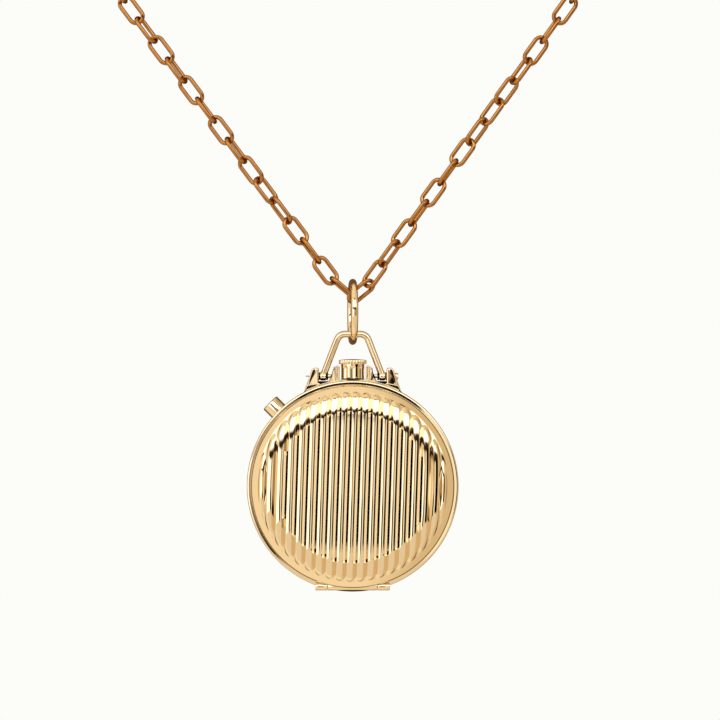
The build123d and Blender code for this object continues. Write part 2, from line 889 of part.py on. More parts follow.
with BuildPart() as clasp_bolt:
    clasp_arc(bolt_radius, bolt_tail, bolt_tip)
    nub_way = clasp_way(nub_angle)
    with BuildSketch(Plane(origin=clasp_plane.origin + nub_way * clasp_radius, z_dir=nub_way)):
        Circle(bolt_nub_radius)
    extrude(amount=bolt_nub_length)
finish(clasp_bolt, "clasp_bolt")

# End ring on the right strand
with BuildPart() as end_ring:
    with Locations(chain_end(right_start, right_tilt, right_rolls, end_ring_wire_radius, end_ring_radius)):
        Torus(end_ring_radius, end_ring_wire_radius)
finish(end_ring, "end_ring")

# Cover: the form both lids share, a reeded field set into a rounded shoulder
cover_rim = band_half + lid_gap
cavity_radius = lid_radius - lid_wall
cavity_top = lid_height - rib_depth - field_wall
field_turn = degrees(asin((lid_radius + field_margin) / field_radius))
field_start = Plane(
    origin=spot(0, 0, lid_height - field_radius),
    x_dir=(1, 0, 0),
    z_dir=(0, -sin(radians(field_turn)), -cos(radians(field_turn))),
)


def shoulder(side_reach, rise, foot, mode=Mode.ADD):
    """A round solid with a quarter-ellipse edge, from the foot's height up."""
    with BuildSketch(PROFILE) as outline:
        with BuildLine():
            edge = EllipticalCenterArc((shoulder_centre, shoulder_height), side_reach, rise)
            Polyline(edge @ 1, (0, shoulder_height + rise), (0, foot), (shoulder_centre + side_reach, foot),
                     edge @ 0)
        make_face()
    revolve(outline.sketch, axis=CASE_AXIS, mode=mode)


def crest(x):
    """Distance of the field's crest line from the field's axis."""
    return field_radius - x**2 / (2 * field_radius)


with BuildPart(mode=Mode.PRIVATE) as cavity:
    shoulder(cavity_radius - shoulder_centre, shoulder_rise - lid_wall, cover_rim - overrun)
    with Locations(spot(0, 0, cavity_top - field_radius)):
        Sphere(field_radius, mode=Mode.INTERSECT)

with BuildPart(mode=Mode.PRIVATE) as cover:
    shoulder(lid_radius - shoulder_centre, shoulder_rise, cover_rim)
    with BuildSketch(field_start) as field:
        with BuildLine():
            for rib in range(rib_count):
                left = rib * rib_pitch - field_edge
                middle = left + rib_pitch / 2
                right = left + rib_pitch
                ThreePointArc(
                    (left, crest(left) - rib_depth),
                    (middle, crest(middle)),
                    (right, crest(right) - rib_depth),
                )
            outside = field_edge + field_margin
            low = field_radius - lid_height
            Polyline(
                (field_edge, crest(field_edge) - rib_depth),
                (outside, crest(field_edge) - rib_depth),
                (outside, low),
                (-outside, low),
                (-outside, crest(field_edge) - rib_depth),
                (-field_edge, crest(field_edge) - rib_depth),
            )
        make_face()
    revolve(field.sketch, axis=Axis(field_start.origin, (1, 0, 0)), revolution_arc=2 * field_turn,
            mode=Mode.INTERSECT)
    add(cavity.part, mode=Mode.SUBTRACT)
    bar_x(-lid_knuckle_half, lid_knuckle_half, hinge_radius, hinge_y, band_half)
    bar_x(-case_knuckle_half, case_knuckle_half, hinge_pin_radius + lid_hinge_gap, hinge_y, band_half,
          mode=Mode.SUBTRACT)
    for end in (1, -1):
        bar_x(end * lid_knuckle_half, end * (case_knuckle_half + running_gap),
              hinge_radius + running_gap, hinge_y, band_half, mode=Mode.SUBTRACT)

# Front lid, with a groove for the catch
with BuildPart() as lid:
    add(cover.part)
    sector(catch_top - catch_lip_height - running_gap, catch_top + running_gap, cavity_radius + snap_depth,
           cavity_radius - snap_depth, catch_nose_angle - nose_span, catch_nose_angle + nose_span,
           mode=Mode.SUBTRACT)
finish(lid, "lid")

# Back cover, the same shell turned to the back, with a small lip for the thumb nail
with BuildPart() as back_cover:
    add(mirror(cover.part, about=Plane.XZ))
    with BuildSketch(CASE.offset(-cover_rim)) as lip:
        with Locations((0, lid_radius - lid_wall)):
            Rectangle(2 * thumb_lip_half, 2 * (lid_wall + thumb_lip_reach))
        Circle(cavity_radius, mode=Mode.SUBTRACT)
        Circle(lid_radius + thumb_lip_reach, mode=Mode.INTERSECT)
    extrude(amount=-thumb_lip_height)
finish(back_cover, "back_cover")

# Hinge pins, one for each lid
with BuildPart() as hinge_pins:
    for face in (1, -1):
        bar_x(-case_knuckle_half, case_knuckle_half, hinge_pin_radius, hinge_y, face * band_half)
finish(hinge_pins, "hinge_pins")

# Glass bezel: sits on the band and holds the crystal under its lip
with BuildPart() as glass_bezel:
    with BuildSketch(PROFILE):
        with BuildLine():
            Polyline(
                (crystal_radius, band_half),
                (bezel_radius, band_half),
                (bezel_radius, band_half + bezel_edge),
                (bezel_radius - bezel_slope, band_half + bezel_rise),
                (crystal_radius - bezel_lip, band_half + bezel_rise),
                (crystal_radius - bezel_lip, band_half + bezel_rise - bezel_lip_thickness),
                (crystal_radius, band_half + bezel_rise - bezel_lip_thickness),
                close=True,
            )
        make_face()
    revolve(axis=CASE_AXIS)
    sector(band_half - overrun, band_half + overrun, bezel_radius + overrun, bezel_notch_radius,
           catch_nose_angle - nose_span, catch_nose_angle + nose_span, mode=Mode.SUBTRACT)
finish(glass_bezel, "glass_bezel")

# Crystal: a domed glass of even thickness
crystal_low = band_half + crystal_edge_low
with BuildPart() as crystal:
    with BuildSketch(PROFILE):
        with BuildLine():
            outer_dome = TangentArc((0, crystal_top), (crystal_radius, crystal_low + crystal_edge),
                                    tangent=(1, 0))
            inner_dome = TangentArc((0, crystal_top - crystal_wall),
                                    (crystal_radius - crystal_wall, crystal_low), tangent=(1, 0))
            Line(outer_dome @ 0, inner_dome @ 0)
            Polyline(outer_dome @ 1, (crystal_radius, crystal_low), inner_dome @ 1)
        make_face()
    revolve(axis=CASE_AXIS)
finish(crystal, "crystal")

# Dial, with a sunk circle for the seconds
with BuildPart() as dial:
    disc(dial_back, dial_front, dial_radius)
    disc(dial_back, dial_front, dial_hole, mode=Mode.SUBTRACT)
    disc(dial_front - seconds_sink_depth, dial_front, seconds_sink_radius, fourth_at, mode=Mode.SUBTRACT)
    disc(dial_back, dial_front, seconds_hole, fourth_at, mode=Mode.SUBTRACT)
finish(dial, "dial")

# Hour batons and the dots of the minute and seconds tracks, raised on the dial
with BuildPart() as hour_markers:
    with BuildSketch(CASE.offset(dial_front)):
        with PolarLocations(minute_track_radius, 60):
            Circle(minute_dot_radius)
        with PolarLocations((baton_inner + baton_outer) / 2, 12):
            Rectangle(baton_outer - baton_inner, baton_width)
        with Locations(fourth_at):
            Circle(seconds_sink_radius + running_gap, mode=Mode.SUBTRACT)
    extrude(amount=marker_height)
    with BuildSketch(CASE.offset(dial_front - seconds_sink_depth)):
        with Locations(fourth_at):
            with PolarLocations(seconds_dot_circle, 12):
                Circle(seconds_dot_radius)
    extrude(amount=marker_height)
finish(hour_markers, "hour_markers")


def hand(level, length, boss, bore, widest, angle, at=(0, 0)):
    """A leaf hand: a round boss and a blade that swells, then runs to a fine tip."""
    swell = length * hand_swell_share
    upper = ((0, hand_root_width / 2), (swell, widest / 2), (length, hand_tip_width / 2))
    lower = [(x, -y) for x, y in reversed(upper)]
    with BuildSketch(CASE.offset(level)) as outline:
        with Locations(Location((*at, 0), (0, 0, angle))):
            Polygon(*upper, *lower, align=None)
            Circle(boss)
            Circle(bore, mode=Mode.SUBTRACT)
    extrude(outline.sketch, amount=hand_thickness)


with BuildPart() as hour_hand:
    hand(hour_hand_level, hour_hand_length, hand_boss_radius, hour_pipe_radius, hand_leaf_width,
         hour_hand_angle)
finish(hour_hand, "hour_hand")

with BuildPart() as minute_hand:
    hand(minute_hand_level, minute_hand_length, minute_boss_radius, cannon_pipe_radius, hand_leaf_width,
         minute_hand_angle)
finish(minute_hand, "minute_hand")

with BuildPart() as seconds_hand:
    hand(seconds_hand_level, seconds_hand_length, seconds_boss_radius, arbor_radius, seconds_blade_width,
         seconds_hand_angle, fourth_at)
finish(seconds_hand, "seconds_hand")

# Crown: a fluted barrel under a knurled edge, hollow over the tube
crown_shoulder = crown_base + crown_barrel_length
crown_end = crown_shoulder + crown_rim_length
crown_floor = tube_outer_end + loose_gap
stem_outer_end = crown_floor + crown_thread_length
with BuildPart() as crown:
    bar_y(crown_base, crown_shoulder, crown_radius)
    with BuildSketch(stem_plane(crown_base)):
        with PolarLocations(crown_radius + flute_radius - flute_depth, crown_flutes, start_angle=-90):
            Circle(flute_radius)
    extrude(amount=crown_barrel_length - flute_stop, mode=Mode.SUBTRACT)
    with Locations(stem_plane(crown_shoulder - flute_stop)):
        with PolarLocations(crown_radius + flute_radius - flute_depth, crown_flutes, start_angle=-90):
            Sphere(flute_radius, mode=Mode.SUBTRACT)
    with BuildSketch(stem_plane(crown_shoulder)):
        Circle(crown_rim_radius)
        with PolarLocations(crown_rim_radius, crown_knurls):
            Circle(knurl_radius, mode=Mode.SUBTRACT)
    extrude(amount=crown_rim_length)
    with BuildSketch(CASE) as crown_cap:
        with BuildLine():
            cap = TangentArc((0, crown_end + crown_dome), (crown_radius, crown_end), tangent=(1, 0))
            Polyline(cap @ 1, (0, crown_end), cap @ 0)
        make_face()
    revolve(crown_cap.sketch, axis=Axis(spot(0, 0), (0, 0, 1)))
    bar_y(crown_base, crown_floor, crown_recess_radius, mode=Mode.SUBTRACT)
    bar_y(crown_floor, stem_outer_end, stem_radius, mode=Mode.SUBTRACT)
finish(crown, "crown")

# Crown tube, pressed into the band
with BuildPart() as crown_tube:
    bar_y(tube_inner_end, tube_outer_end, tube_radius)
    bar_y(tube_inner_end, tube_outer_end, tube_bore, mode=Mode.SUBTRACT)
finish(crown_tube, "crown_tube")


def square_bar(start, end, width, mode=Mode.ADD):
    """A square bar on the stem's axis."""
    with BuildSketch(stem_plane(start)) as outline:
        Rectangle(width, width)
    extrude(outline.sketch, amount=end - start, mode=mode)


# Stem: pilot, square, round journal with the setting groove, and the thread in the crown
with BuildPart() as stem:
    bar_y(stem_inner_end, pilot_end, stem_pilot_radius)
    square_bar(pilot_end, square_end, stem_square)
    bar_y(square_end, setting_y - stem_groove_length / 2, stem_radius)
    bar_y(setting_y - stem_groove_length / 2, setting_y + stem_groove_length / 2, stem_groove_radius)
    bar_y(setting_y + stem_groove_length / 2, stem_outer_end, stem_radius)
finish(stem, "stem")

# Winding pinion: loose on the round of the stem
with BuildPart() as winding_pinion:
    winding_pinion_module = winding_pinion_radius / (winding_pinion_teeth / 2 + tooth_tip_share)
    with BuildSketch(stem_plane(winding_pinion_low)):
        Polygon(*gear_outline(winding_pinion_teeth, winding_pinion_module), align=None)
        Circle(stem_radius + lid_hinge_gap, mode=Mode.SUBTRACT)
    extrude(amount=winding_pinion_high - winding_pinion_low)
finish(winding_pinion, "winding_pinion")

# Sliding pinion: rides on the square, with a groove for its yoke
with BuildPart() as sliding_pinion:
    bar_y(sliding_pinion_low, sliding_pinion_high, sliding_pinion_radius)
    square_bar(sliding_pinion_low, sliding_pinion_high, stem_square + 2 * lid_hinge_gap, mode=Mode.SUBTRACT)
    groove_at = (sliding_pinion_low + sliding_pinion_high - sliding_groove_length) / 2
    with BuildSketch(stem_plane(groove_at)) as groove:
        Circle(sliding_pinion_radius)
        Circle(sliding_groove_radius, mode=Mode.SUBTRACT)
    extrude(groove.sketch, amount=sliding_groove_length, mode=Mode.SUBTRACT)
finish(sliding_pinion, "sliding_pinion")

# Setting lever: turns on its screw, and its pin rides in the stem's groove
setting_lever_high = setting_lever_low + setting_lever_thickness
with BuildPart() as setting_lever:
    with BuildSketch(CASE.offset(setting_lever_low)):
        with Locations((setting_pivot_x / 2, setting_y)):
            SlotCenterToCenter(setting_pivot_x, setting_lever_width)
        with Locations((setting_pivot_x, setting_y)):
            Circle(setting_pin_radius, mode=Mode.SUBTRACT)
    extrude(amount=setting_lever_thickness)
    disc(stem_groove_radius + lid_hinge_gap, setting_lever_low, setting_pin_radius, (0, setting_y))
finish(setting_lever, "setting_lever")

# Pusher: a cup over its spring, with a shaft through the band and a clip inside
with BuildPart() as pusher:
    bar_pusher(pusher_head_base, pusher_outer_end, pusher_radius)
    rim = pusher.edges().filter_by(GeomType.CIRCLE).sort_by(Axis(spot(0, 0), pusher_plane(0).z_dir))[-1]
    fillet(rim, pusher_edge)
    bar_pusher(pusher_head_base, pusher_head_base + pusher_cup_depth, pusher_cup_radius, mode=Mode.SUBTRACT)
    bar_pusher(pusher_inner_end, pusher_head_base + pusher_cup_depth, pusher_shaft_radius)
    bar_pusher(pusher_inner_end, pusher_inner_end + pusher_clip_length, pusher_clip_radius)
finish(pusher, "pusher")

# Pusher spring, between the band and the bottom of the cup
with BuildPart() as pusher_spring:
    spring_start = pusher_seat + spring_wire / 2 + lid_hinge_gap
    spring_length = pusher_head_base + pusher_cup_depth - spring_wire / 2 - lid_hinge_gap - spring_start
    with BuildLine() as coil:
        Helix(pitch=spring_length / spring_turns, height=spring_length, radius=spring_radius,
              center=pusher_plane(spring_start).origin, direction=pusher_plane(spring_start).z_dir)
    with BuildSketch(Plane(coil.line @ 0, z_dir=coil.line % 0)):
        Circle(spring_wire / 2)
    sweep(path=coil.line)
finish(pusher_spring, "pusher_spring")

# Lid catch and lid spring: steel arcs in the channel round the movement, each on a pad and screw
with BuildPart() as lid_catch:
    nose_from = catch_nose_angle - catch_nose_half
    nose_to = catch_nose_angle + catch_nose_half
    wall_outer = catch_nose_outer - catch_lip
    sector(channel_low, channel_high, channel_spring_outer, channel_spring_inner, catch_from, catch_to)
    sector(channel_low, channel_high, channel_pad_outer, channel_pad_inner, catch_from,
           catch_from + channel_pad_angle)
    sector(channel_low, channel_high, wall_outer, channel_spring_inner, nose_from, nose_to)
    sector(channel_low, catch_top, wall_outer, wall_outer - catch_nose_wall, nose_from, nose_to)
    sector(catch_top - catch_lip_height, catch_top, catch_nose_outer, wall_outer - catch_nose_wall,
           nose_from, nose_to)
    disc(channel_low, channel_high, channel_screw_radius + running_gap, channel_screw_places[0],
         mode=Mode.SUBTRACT)
finish(lid_catch, "lid_catch")

with BuildPart() as lid_spring:
    sector(channel_low, channel_high, channel_spring_outer, channel_spring_inner, lid_spring_from,
           lid_spring_to)
    sector(channel_low, channel_high, channel_pad_outer, channel_pad_inner, lid_spring_from,
           lid_spring_from + channel_pad_angle)
    disc(channel_low, channel_high, channel_screw_radius, channel_screw_places[1], mode=Mode.SUBTRACT)
finish(lid_spring, "lid_spring")

with BuildPart() as channel_screws:
    for place in channel_screw_places:
        slotted_screw(channel_low - frame_screw_head_height - lid_hinge_gap, frame_screw_head_height, place,
                      flange_back + channel_screw_depth, channel_screw_radius, channel_screw_head)
finish(channel_screws, "channel_screws")

# Movement ring: fills the space between movement and case, with room for the catch
with BuildPart() as movement_ring:
    tube(plate_back, flange_back, movement_ring_outer, movement_radius + running_gap)
    sector(plate_back, flange_back, movement_ring_outer + overrun, movement_ring_flat,
           catch_from + channel_pad_angle, catch_to + channel_pad_angle, mode=Mode.SUBTRACT)
    bar_y(movement_radius - overrun, movement_ring_outer + overrun, stem_radius + loose_gap,
          mode=Mode.SUBTRACT)
    for angle in clamp_angles:
        disc(plate_back, plate_back + frame_screw_bite, frame_screw_radius,
             polar(clamp_ring_radius, angle), mode=Mode.SUBTRACT)
finish(movement_ring, "movement_ring")

with BuildPart() as case_clamps:
    for angle in clamp_angles:
        tube(plate_back, plate_back - clamp_thickness, clamp_radius, frame_screw_radius,
             polar(clamp_ring_radius, angle))
finish(case_clamps, "case_clamps")

# Main plate: carries every wheel, with pockets for the barrel, the winding work and the motion work
barrel_tip = barrel_module * (barrel_teeth / 2 + tooth_tip_share)
centre_tip = barrel_module * (centre_leaves / 2 + tooth_tip_share)
hour_tip = hour_module * (hour_teeth / 2 + tooth_tip_share)
minute_tip = motion_module * (minute_teeth / 2 + tooth_tip_share)
pocket_top = barrel_front + barrel_pocket_gap
bridge_screw_places = [polar(bridge_screw_circle, angle) for angle in bridge_screw_angles]
bridge_screw_places += list(bridge_screws_at)
bridge_screw_places.append(cock_foot_at)
pocket_high = setting_y - stem_groove_length / 2
sink = plate_back - overrun
with BuildPart() as main_plate:
    disc(plate_back, plate_front, movement_radius)
    disc(skirt_start, bridge_high, post_radius, crown_wheel_at)
    with BuildSketch(CASE.offset(plate_back)) as post_foot:
        with Locations(crown_wheel_at):
            Circle(post_radius)
        with Locations((0, post_foot_y - overrun / 2)):
            Rectangle(overrun, overrun, mode=Mode.INTERSECT)
    extrude(post_foot.sketch, amount=skirt_start - plate_back)
    disc(motion_floor, plate_front, hour_tip + loose_gap, mode=Mode.SUBTRACT)
    disc(motion_floor, plate_front, minute_tip + loose_gap, minute_at, Mode.SUBTRACT)
    disc(motion_floor, minute_stud_top, minute_stud_radius, minute_at)
    disc(pocket_top, sink, barrel_tip + barrel_pocket_margin, barrel_at, Mode.SUBTRACT)
    disc(pocket_top, sink, centre_tip + barrel_pocket_margin, mode=Mode.SUBTRACT)
    disc(pocket_top, pocket_top + barrel_pivot_length, barrel_pivot_radius + lid_hinge_gap, barrel_at,
         Mode.SUBTRACT)
    block(-pocket_half_width, pocket_half_width, sliding_pinion_low - lid_gap, pocket_high,
          plate_back, plate_front, mode=Mode.SUBTRACT)
    bar_y(setting_y - overrun, movement_radius + overrun, stem_radius + lid_hinge_gap, mode=Mode.SUBTRACT)
    bar_y(stem_inner_end - lid_gap, sliding_pinion_low, stem_pilot_radius + lid_hinge_gap,
          mode=Mode.SUBTRACT)
    pin_room = setting_pin_radius + loose_gap
    block(-pin_room, pin_room, pocket_high, movement_radius, 0, plate_front, mode=Mode.SUBTRACT)
    lever_half = setting_lever_width / 2 + setting_pocket_margin
    block(-lever_half, setting_pivot_x + lever_half, setting_y - lever_half, movement_radius,
          setting_pocket_low, plate_front, mode=Mode.SUBTRACT)
    disc(0, setting_pocket_low, setting_pin_radius, (setting_pivot_x, setting_y), Mode.SUBTRACT)
    disc(pocket_top, motion_floor, centre_post_radius + running_gap, mode=Mode.SUBTRACT)
    disc(plate_back, plate_front, arbor_radius + running_gap, fourth_at, Mode.SUBTRACT)
    for place in (third_at, escape_at, balance_at, pallet_at):
        disc(plate_back, plate_back + pivot_length + running_gap, pivot_hole, place, Mode.SUBTRACT)
    for place in bridge_screw_places + [pallet_foot_at]:
        disc(plate_back, plate_back + frame_screw_bite, frame_screw_radius, place, Mode.SUBTRACT)
    disc(bridge_high, bridge_high + frame_screw_bite, frame_screw_radius, crown_wheel_at, Mode.SUBTRACT)
finish(main_plate, "main_plate")


def cock_plan(margin):
    """The balance cock's outline: two rounds and the tangents between them."""
    with Locations(balance_at):
        Circle(cock_end_radius + margin)
    with Locations(cock_foot_at):
        Circle(cock_foot_radius + margin)
    make_hull()


def clear_balance():
    """Cuts a bridge clear of the balance and its cock."""
    disc(bridge_low, bridge_high, balance_clearance, balance_at, Mode.SUBTRACT)
    with BuildSketch(CASE.offset(bridge_low)) as clear_plan:
        cock_plan(cock_gap)
    extrude(clear_plan.sketch, amount=-bridge_thickness, mode=Mode.SUBTRACT)


def half_bridge(side, edge):
    """One side of the bridge disc, beyond a slanting line."""
    with BuildSketch(CASE.offset(bridge_low)) as outline:
        Circle(bridge_radius)
        with Locations(Location((*polar(edge + side * bridge_radius, barrel_angle), 0), (0, 0, barrel_angle))):
            Rectangle(2 * bridge_radius, 2 * bridge_radius, mode=Mode.INTERSECT)
    extrude(outline.sketch, amount=-bridge_thickness)


def foot(x_from, x_to, y_from, y_to):
    """A bridge foot: the part of the bridge disc inside a rectangle, down to the plate."""
    with BuildSketch(CASE.offset(plate_back)) as outline:
        Circle(bridge_radius)
        with Locations(((x_from + x_to) / 2, (y_from + y_to) / 2)):
            Rectangle(abs(x_to - x_from), abs(y_to - y_from), mode=Mode.INTERSECT)
    extrude(outline.sketch, amount=bridge_low - plate_back)


# Barrel bridge: over the barrel and the winding work
with BuildPart() as barrel_bridge:
    half_bridge(1, bridge_split)
    block(-bridge_radius, left_foot_out, -bridge_radius, bridge_radius, bridge_low, bridge_high,
          mode=Mode.SUBTRACT)
    clear_balance()
    sector(plate_back, bridge_low, bridge_radius, foot_inner, barrel_foot_from, barrel_foot_to)
    foot(left_foot_out, left_foot_in, left_foot_low, bridge_radius)
    disc(bridge_low, bridge_high, skirt_outer + lid_gap, crown_wheel_at, Mode.SUBTRACT)
    disc(bridge_low, bridge_high, barrel_rear_radius + lid_hinge_gap, barrel_at, Mode.SUBTRACT)
    for place in bridge_screw_places[:3]:
        disc(plate_back, bridge_high, frame_screw_radius, place, Mode.SUBTRACT)
    disc(bridge_high, bridge_high + frame_screw_bite, frame_screw_radius, (click_x, click_y),
         Mode.SUBTRACT)
finish(barrel_bridge, "barrel_bridge")

# Train bridge: over the centre, third, fourth and escape wheels
train_places = [(0, 0), third_at, fourth_at, escape_at]
with BuildPart() as train_bridge:
    half_bridge(-1, bridge_split - bridge_split_gap)
    clear_balance()
    foot(-bridge_radius, train_foot_x, -bridge_radius, bridge_split)
    foot(-bridge_radius, low_foot_x, -bridge_radius, low_foot_y)
    for place in train_places:
        disc(bridge_low, bridge_high, jewel_radius, place, Mode.SUBTRACT)
    for place in bridge_screw_places[3:6]:
        disc(plate_back, bridge_high, frame_screw_radius, place, Mode.SUBTRACT)
finish(train_bridge, "train_bridge")

# Balance cock: one foot and an arm to the balance staff
with BuildPart() as balance_cock:
    with BuildSketch(CASE.offset(bridge_low)):
        cock_plan(0)
    extrude(amount=-bridge_thickness)
    disc(plate_back, bridge_low, cock_foot_radius, cock_foot_at)
    disc(bridge_low, bridge_high, jewel_radius, balance_at, Mode.SUBTRACT)
    disc(plate_back, bridge_high, frame_screw_radius, cock_foot_at, Mode.SUBTRACT)
finish(balance_cock, "balance_cock")

# Pallet cock: a small bridge over the pallet fork
pallet_cock_rear = pallet_cock_low - pallet_cock_thickness
with BuildPart() as pallet_cock:
    with BuildSketch(CASE.offset(pallet_cock_low)):
        with Locations(pallet_at):
            Circle(jewel_radius)
        with Locations(pallet_foot_at):
            Circle(pallet_foot_radius)
        make_hull()
    extrude(amount=-pallet_cock_thickness)
    disc(plate_back, pallet_cock_low, pallet_foot_radius, pallet_foot_at)
    disc(pallet_cock_low, pallet_cock_rear, pivot_hole, pallet_at, Mode.SUBTRACT)
    disc(plate_back, pallet_cock_rear, frame_screw_radius, pallet_foot_at, Mode.SUBTRACT)
finish(pallet_cock, "pallet_cock")

# Screws of the bridges, the cocks and the case clamps
with BuildPart() as movement_screws:
    for angle in clamp_angles:
        slotted_screw(plate_back - clamp_thickness - frame_screw_head_height, frame_screw_head_height,
                      polar(clamp_ring_radius, angle), plate_back + frame_screw_bite)
    for place in bridge_screw_places:
        slotted_screw(bridge_high - frame_screw_head_height, frame_screw_head_height, place,
                      plate_back + frame_screw_bite)
    slotted_screw(pallet_cock_rear - frame_screw_slot, frame_screw_slot, pallet_foot_at,
                  plate_back + frame_screw_bite)
finish(movement_screws, "movement_screws")

# Jewels, one for each rear pivot
with BuildPart() as jewels:
    for place in train_places + [balance_at]:
        tube(bridge_high, bridge_high + jewel_thickness, jewel_radius, pivot_hole, place)
finish(jewels, "jewels")

# Barrel: a toothed drum with a cover, its arbor and the mainspring between them
with BuildPart() as barrel:
    gear(barrel_front, barrel_front - barrel_tooth_height, barrel_teeth, barrel_module, barrel_at)
    disc(barrel_front, barrel_rear, barrel_drum_radius, barrel_at)
    disc(barrel_front - barrel_floor, barrel_rear, barrel_drum_radius - barrel_wall, barrel_at, Mode.SUBTRACT)
    disc(barrel_front, barrel_rear, barrel_eye, barrel_at, Mode.SUBTRACT)
finish(barrel, "barrel")

with BuildPart() as barrel_cover:
    tube(barrel_rear, barrel_rear + barrel_cover_thickness, barrel_cover_radius, barrel_eye, barrel_at)
finish(barrel_cover, "barrel_cover")

spring_front = barrel_front - barrel_floor - running_gap
spring_rear = barrel_rear + barrel_cover_thickness + running_gap
with BuildPart() as barrel_arbor:
    disc(spring_front, spring_rear, arbor_hub_radius, barrel_at)
    disc(spring_front, pocket_top + barrel_pivot_length - running_gap, barrel_pivot_radius, barrel_at)
    disc(spring_rear, bridge_high, barrel_rear_radius, barrel_at)
    with BuildSketch(CASE.offset(bridge_high)):
        with Locations(barrel_at):
            Rectangle(barrel_square, barrel_square)
    extrude(amount=winding_high - bridge_high)
    disc(winding_high, winding_high + frame_screw_bite, ratchet_screw_radius, barrel_at,
         Mode.SUBTRACT)
finish(barrel_arbor, "barrel_arbor")

with BuildPart() as mainspring:
    spiral(spring_front, spring_rear, arbor_hub_radius + loose_gap, mainspring_pitch, mainspring_thickness,
           mainspring_turns, barrel_at)
finish(mainspring, "mainspring")

with BuildPart() as ratchet_wheel:
    gear(winding_low, winding_high, ratchet_teeth, winding_module, barrel_at)
    with BuildSketch(CASE.offset(winding_low)) as square_hole:
        with Locations(barrel_at):
            Rectangle(barrel_square, barrel_square)
    extrude(square_hole.sketch, amount=-winding_wheel_thickness, mode=Mode.SUBTRACT)
finish(ratchet_wheel, "ratchet_wheel")

# Crown wheel: flat teeth for the ratchet wheel and a notched skirt for the winding pinion
to_barrel = degrees(atan2(barrel_at[1] - crown_wheel_y, barrel_at[0]))
with BuildPart() as crown_wheel:
    gear(winding_low, winding_high, crown_wheel_teeth, winding_module, crown_wheel_at,
         mesh_phase(crown_wheel_teeth, ratchet_teeth, to_barrel + 180) + 180)
    disc(skirt_start, winding_low, skirt_outer, crown_wheel_at)
    disc(skirt_start, winding_low, skirt_inner, crown_wheel_at, Mode.SUBTRACT)
    with BuildSketch(CASE.offset(skirt_start)) as notches:
        with Locations(crown_wheel_at):
            with PolarLocations((skirt_outer + skirt_inner) / 2, skirt_notches):
                Rectangle(skirt_outer - skirt_inner + skirt_notch, skirt_notch)
    extrude(notches.sketch, amount=-skirt_notch, mode=Mode.SUBTRACT)
    disc(winding_low, winding_high, frame_screw_radius + lid_hinge_gap, crown_wheel_at, Mode.SUBTRACT)
finish(crown_wheel, "crown_wheel")

with BuildPart() as ratchet_screw:
    slotted_screw(winding_high - frame_screw_head_height, frame_screw_head_height, barrel_at,
                  winding_high + frame_screw_bite, ratchet_screw_radius, crown_screw_head)
finish(ratchet_screw, "ratchet_screw")

# Click and its spring, on the barrel bridge
click_at = (click_x, click_y)
click_line = degrees(atan2(barrel_at[1] - click_y, barrel_at[0] - click_x))
with BuildPart() as click:
    with BuildSketch(CASE.offset(winding_low)):
        with Locations(Location((*click_at, 0), (0, 0, click_line))):
            Circle(click_radius)
            Polygon((0, click_radius), (click_nose, click_nose_width / 2), (click_nose, -click_nose_width / 2),
                    (0, -click_radius), align=None)
            Circle(frame_screw_radius + lid_hinge_gap, mode=Mode.SUBTRACT)
    extrude(amount=-winding_wheel_thickness)
finish(click, "click")

# Screws of the winding work: crown wheel, click and setting lever
winding_screw_top = winding_high - frame_screw_head_height - lid_hinge_gap
setting_screw_top = setting_lever_high + lid_hinge_gap + setting_screw_radius
with BuildPart() as winding_screws:
    slotted_screw(winding_screw_top, frame_screw_head_height, crown_wheel_at, bridge_high + frame_screw_bite,
                  frame_screw_radius, crown_screw_head)
    slotted_screw(winding_screw_top, frame_screw_head_height, click_at, bridge_high + frame_screw_bite,
                  frame_screw_radius, click_screw_head)
    slotted_screw(setting_screw_top, -setting_screw_radius, (setting_pivot_x, setting_y), 0,
                  setting_pin_radius - lid_hinge_gap / 2, setting_screw_head)
finish(winding_screws, "winding_screws")

with BuildPart() as click_spring:
    with BuildSketch(CASE.offset(bridge_high)):
        with BuildLine():
            inside = CenterArc(click_at, click_spring_reach, click_line + click_spring_from + 90,
                               click_spring_to - click_spring_from)
            outside = CenterArc(click_at, click_spring_reach + click_spring_width,
                                click_line + click_spring_from + 90, click_spring_to - click_spring_from)
            Line(inside @ 0, outside @ 0)
            Line(inside @ 1, outside @ 1)
        make_face()
    extrude(amount=-winding_wheel_thickness)
finish(click_spring, "click_spring")


def train_wheel(level, teeth, module, at):
    """A wheel of the going train: teeth, rim and four arms."""
    gear(level, level + wheel_thickness, teeth, module, at)
    spokes(level, level + wheel_thickness, module * teeth / 2 - wheel_rim, at)


def train_pinion(level, leaves, module, at):
    """A pinion a little longer than the wheel that drives it, and its arbor."""
    gear(level - pinion_overlap, level + wheel_thickness + pinion_overlap, leaves, module, at)


def pivots(at):
    """The fine ends of an arbor, in the plate and in the jewel."""
    disc(front_end, plate_back + pivot_length, pivot_radius, at)
    disc(rear_end, bridge_high, pivot_radius, at)


with BuildPart() as centre_wheel:
    train_wheel(level_high, centre_teeth, centre_module, (0, 0))
    gear(barrel_front, barrel_front - barrel_tooth_height - pinion_overlap, centre_leaves, barrel_module)
    disc(barrel_front, rear_end, centre_arbor_radius)
    disc(rear_end, bridge_high, pivot_radius)
    disc(barrel_front, cannon_pipe_top, centre_post_radius)
finish(centre_wheel, "centre_wheel")

with BuildPart() as third_wheel:
    train_wheel(level_low, third_teeth, third_module, third_at)
    train_pinion(level_high, third_leaves, centre_module, third_at)
    disc(front_end, rear_end, arbor_radius, third_at)
    pivots(third_at)
finish(third_wheel, "third_wheel")

